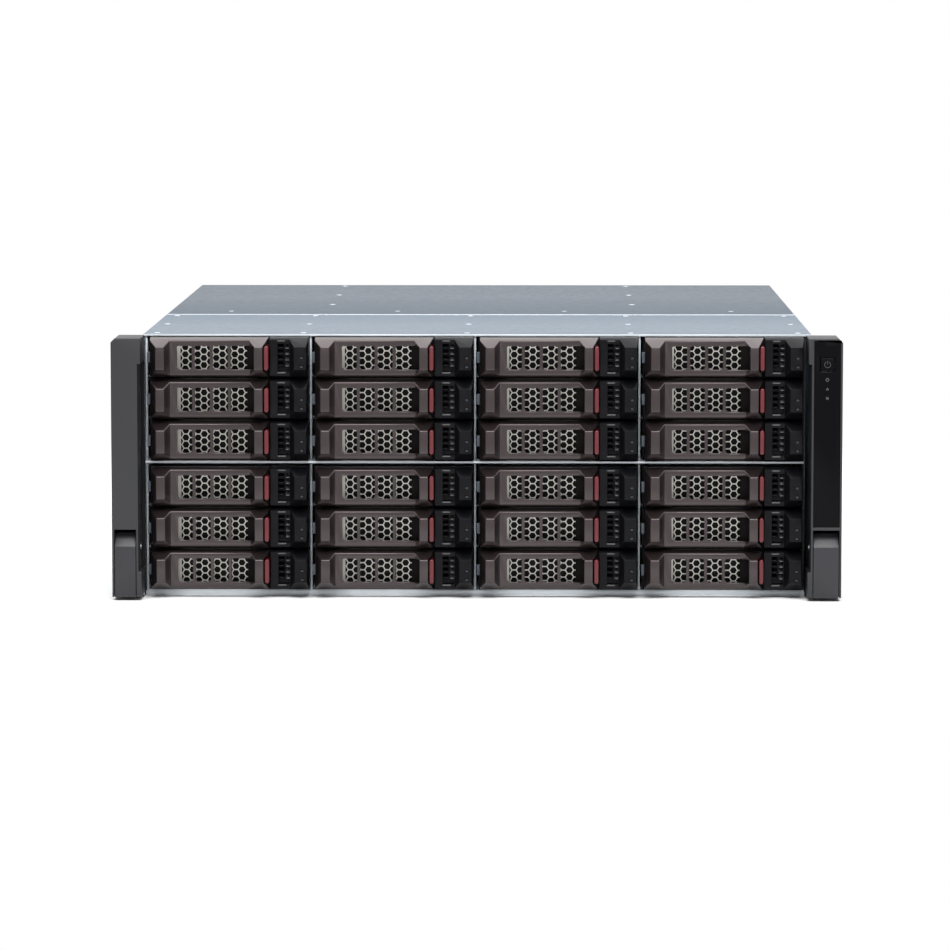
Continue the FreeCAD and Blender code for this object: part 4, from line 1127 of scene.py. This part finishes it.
class EarOperator(bpy.types.Operator):
    """Builds both rack ears, their latches, the gloss panel and the power button."""

    bl_idname = "shelf.ears"
    bl_label = "Rack ears"

    def execute(self, context):
        for side in ("left", "right"):
            ear = cad_copy(f"ear_{side}", f"ear_cover_{side}")
            low, high = [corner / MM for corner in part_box(f"ear_{side}")]
            ear = paint(rounded(ear, 0.6, 3), "ear")
            if side == "right":
                self.gloss_faces(ear)
            hand_over(ear, STATIC_BODY, "ear_plastic", f"ear_{side}")
            latch = paint(rounded(cad_copy(f"ear_latch_{side}", f"flip_latch_{side}"), 0.5), "latch")
            hand_over(latch, f"latch_{side}", "latch_plastic", f"ear_latch_{side}")
            hand_over(self.ear_screws(side, low, high), STATIC_BODY, "ear_plastic")
        power = paint(rounded(cad_copy("power_button", "power_cap"), 0.5, 3), "gloss")
        hand_over(power, "power_button", "button_plastic", "power_button")
        low, high = [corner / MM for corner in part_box("power_button")]
        x, z = (low.x + high.x) / 2, (low.z + high.z) / 2
        hand_over(join("power_pictogram", power_mark(x, low.y, z)), "power_button", "button_plastic")
        panel_sunk = 0.5
        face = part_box("ear_right")[0].y / MM + panel_sunk
        hand_over(join("panel_pictograms", panel_marks(x, face, z)), STATIC_BODY, "ear_plastic")
        return {"FINISHED"}

    def ear_screws(self, side, low, high):
        """A screw low on the inner side of an ear, and a small clip near its head."""
        sign = 1 if side == "left" else -1
        inner = (high.x if side == "left" else low.x) - 2.1 * sign
        middle = ((low.y + high.y) / 2 + 4, 34.0)
        head = disc("ear_screw", middle, 1.6, "x", inner - 0.4, inner + 0.4, 20)
        clip = slab("ear_clip", (inner - 0.4, high.y - 9, 158.4), (inner + 0.5, high.y - 2, 159.6))
        pieces = [paint(rounded(head, 0.2), "screw"), paint(rounded(clip, 0.2), "tab")]
        return join(f"ear_fixings_{side}", pieces)

    def gloss_faces(self, ear):
        """Makes the inset panel of the right ear glossy."""
        ear.data.materials.append(MATERIALS["gloss"])
        low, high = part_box("ear_right")
        front, back = low.y + 0.3 * MM, low.y + 2.6 * MM
        left, right = low.x + 3.0 * MM, high.x - 1.3 * MM
        for face in ear.data.polygons:
            points = [ear.data.vertices[i].co for i in face.vertices]
            if all(front < p.y < back and left < p.x < right for p in points):
                face.material_index = 1


class StageOperator(bpy.types.Operator):
    """Sets up the floor, light, background and camera."""

    bl_idname = "shelf.stage"
    bl_label = "Stage"

    def execute(self, context):
        self.floor(context.scene.shelf_sizes.floor)
        self.world(context.scene)
        self.lights(context.scene)
        self.camera(context.scene)
        return {"FINISHED"}

    def floor(self, half):
        """A pale floor just under the chassis."""
        reach, thickness = half / MM, 20.0
        ground = slab("ground", (-reach, -reach, -thickness), (reach, reach, 0.0))
        ground.data.materials.append(plain_floor("plain_floor"))

    def world(self, scene):
        """White where the background shows, and a weak soft light from everywhere."""
        world = bpy.data.worlds.new("soft_room")
        scene.world = world
        world.use_nodes = True
        tree = world.node_tree
        light = tree.nodes["Background"]
        light.inputs["Color"].default_value = (1, 1, 1, 1)
        light.inputs["Strength"].default_value = 0.26
        white = tree.nodes.new("ShaderNodeBackground")
        white.inputs["Color"].default_value = (1, 1, 1, 1)
        mix = tree.nodes.new("ShaderNodeMixShader")
        tree.links.new(seen_rays(tree), mix.inputs[0])
        tree.links.new(light.outputs[0], mix.inputs[1])
        tree.links.new(white.outputs[0], mix.inputs[2])
        tree.links.new(mix.outputs[0], tree.nodes["World Output"].inputs[0])

    def lights(self, scene):
        """A wide soft box overhead, a key above the front and a weak fill far in front."""
        for name, spot, turn, width, length, power in (
                ("overhead", (0.0, 0.4, 2.4), (0.0, 0.0, 0.0), 3.4, 2.7, 81.0),
                ("key", (0.1, -1.5, 1.75), (36.0, 0.0, 4.0), 2.2, 0.8, 49.0),
                ("front_fill", (0.3, -3.8, 1.1), (72.0, 0.0, 5.0), 2.6, 1.2, 9.0)):
            lamp = bpy.data.lights.new(name, "AREA")
            lamp.shape = "RECTANGLE"
            lamp.size, lamp.size_y = width, length
            lamp.energy = power
            thing = bpy.data.objects.new(name, lamp)
            thing.location = spot
            thing.rotation_euler = [math.radians(a) for a in turn]
            scene.collection.objects.link(thing)

    def camera(self, scene):
        """A long lens a little above the front, as a catalogue view."""
        side, distance, height = 0.0376, 3.044, 0.3903
        look_down, turn = 5.805, 0.733
        data = bpy.data.cameras.new("camera")
        data.lens = 173.8
        data.clip_end = 100.0
        view = bpy.data.objects.new("camera", data)
        view.location = (side, FRONT - distance, height)
        view.rotation_euler = (math.radians(90.0 - look_down), 0.0, math.radians(turn))
        scene.collection.objects.link(view)
        scene.camera = view
        scene.view_settings.view_transform = "Standard"


OPERATORS = (LeverOperator, CarrierOperator, CoverOperator, BodyOperator, RearOperator, EarOperator,
             StageOperator)


class ShelfPanel(bpy.types.Panel):
    """Buttons for every piece of the shelf."""

    bl_idname = "VIEW3D_PT_disk_shelf"
    bl_label = "Disk Shelf"
    bl_space_type = "VIEW_3D"
    bl_region_type = "UI"
    bl_category = "Disk Shelf"

    def draw(self, context):
        for operator in OPERATORS:
            self.layout.operator(operator.bl_idname)


CLASSES = (ShelfSizes, ShelfColours, *OPERATORS, ShelfPanel)


def register():
    """Adds the classes and the scene's properties."""
    for item in CLASSES:
        bpy.utils.register_class(item)
    bpy.types.Scene.shelf_sizes = bpy.props.PointerProperty(type=ShelfSizes)
    bpy.types.Scene.shelf_colours = bpy.props.PointerProperty(type=ShelfColours)


def unregister():
    """Takes the classes and properties away again."""
    del bpy.types.Scene.shelf_sizes
    del bpy.types.Scene.shelf_colours
    for item in reversed(CLASSES):
        bpy.utils.unregister_class(item)


def main():
    register()
    MATERIALS.update(make_materials(bpy.context.scene.shelf_colours))
    bpy.ops.shelf.levers()
    bpy.ops.shelf.carriers()
    bpy.ops.shelf.covers()
    bpy.ops.shelf.body()
    bpy.ops.shelf.rear()
    bpy.ops.shelf.ears()
    bpy.ops.shelf.stage()


if __name__ == "__main__":
    main()
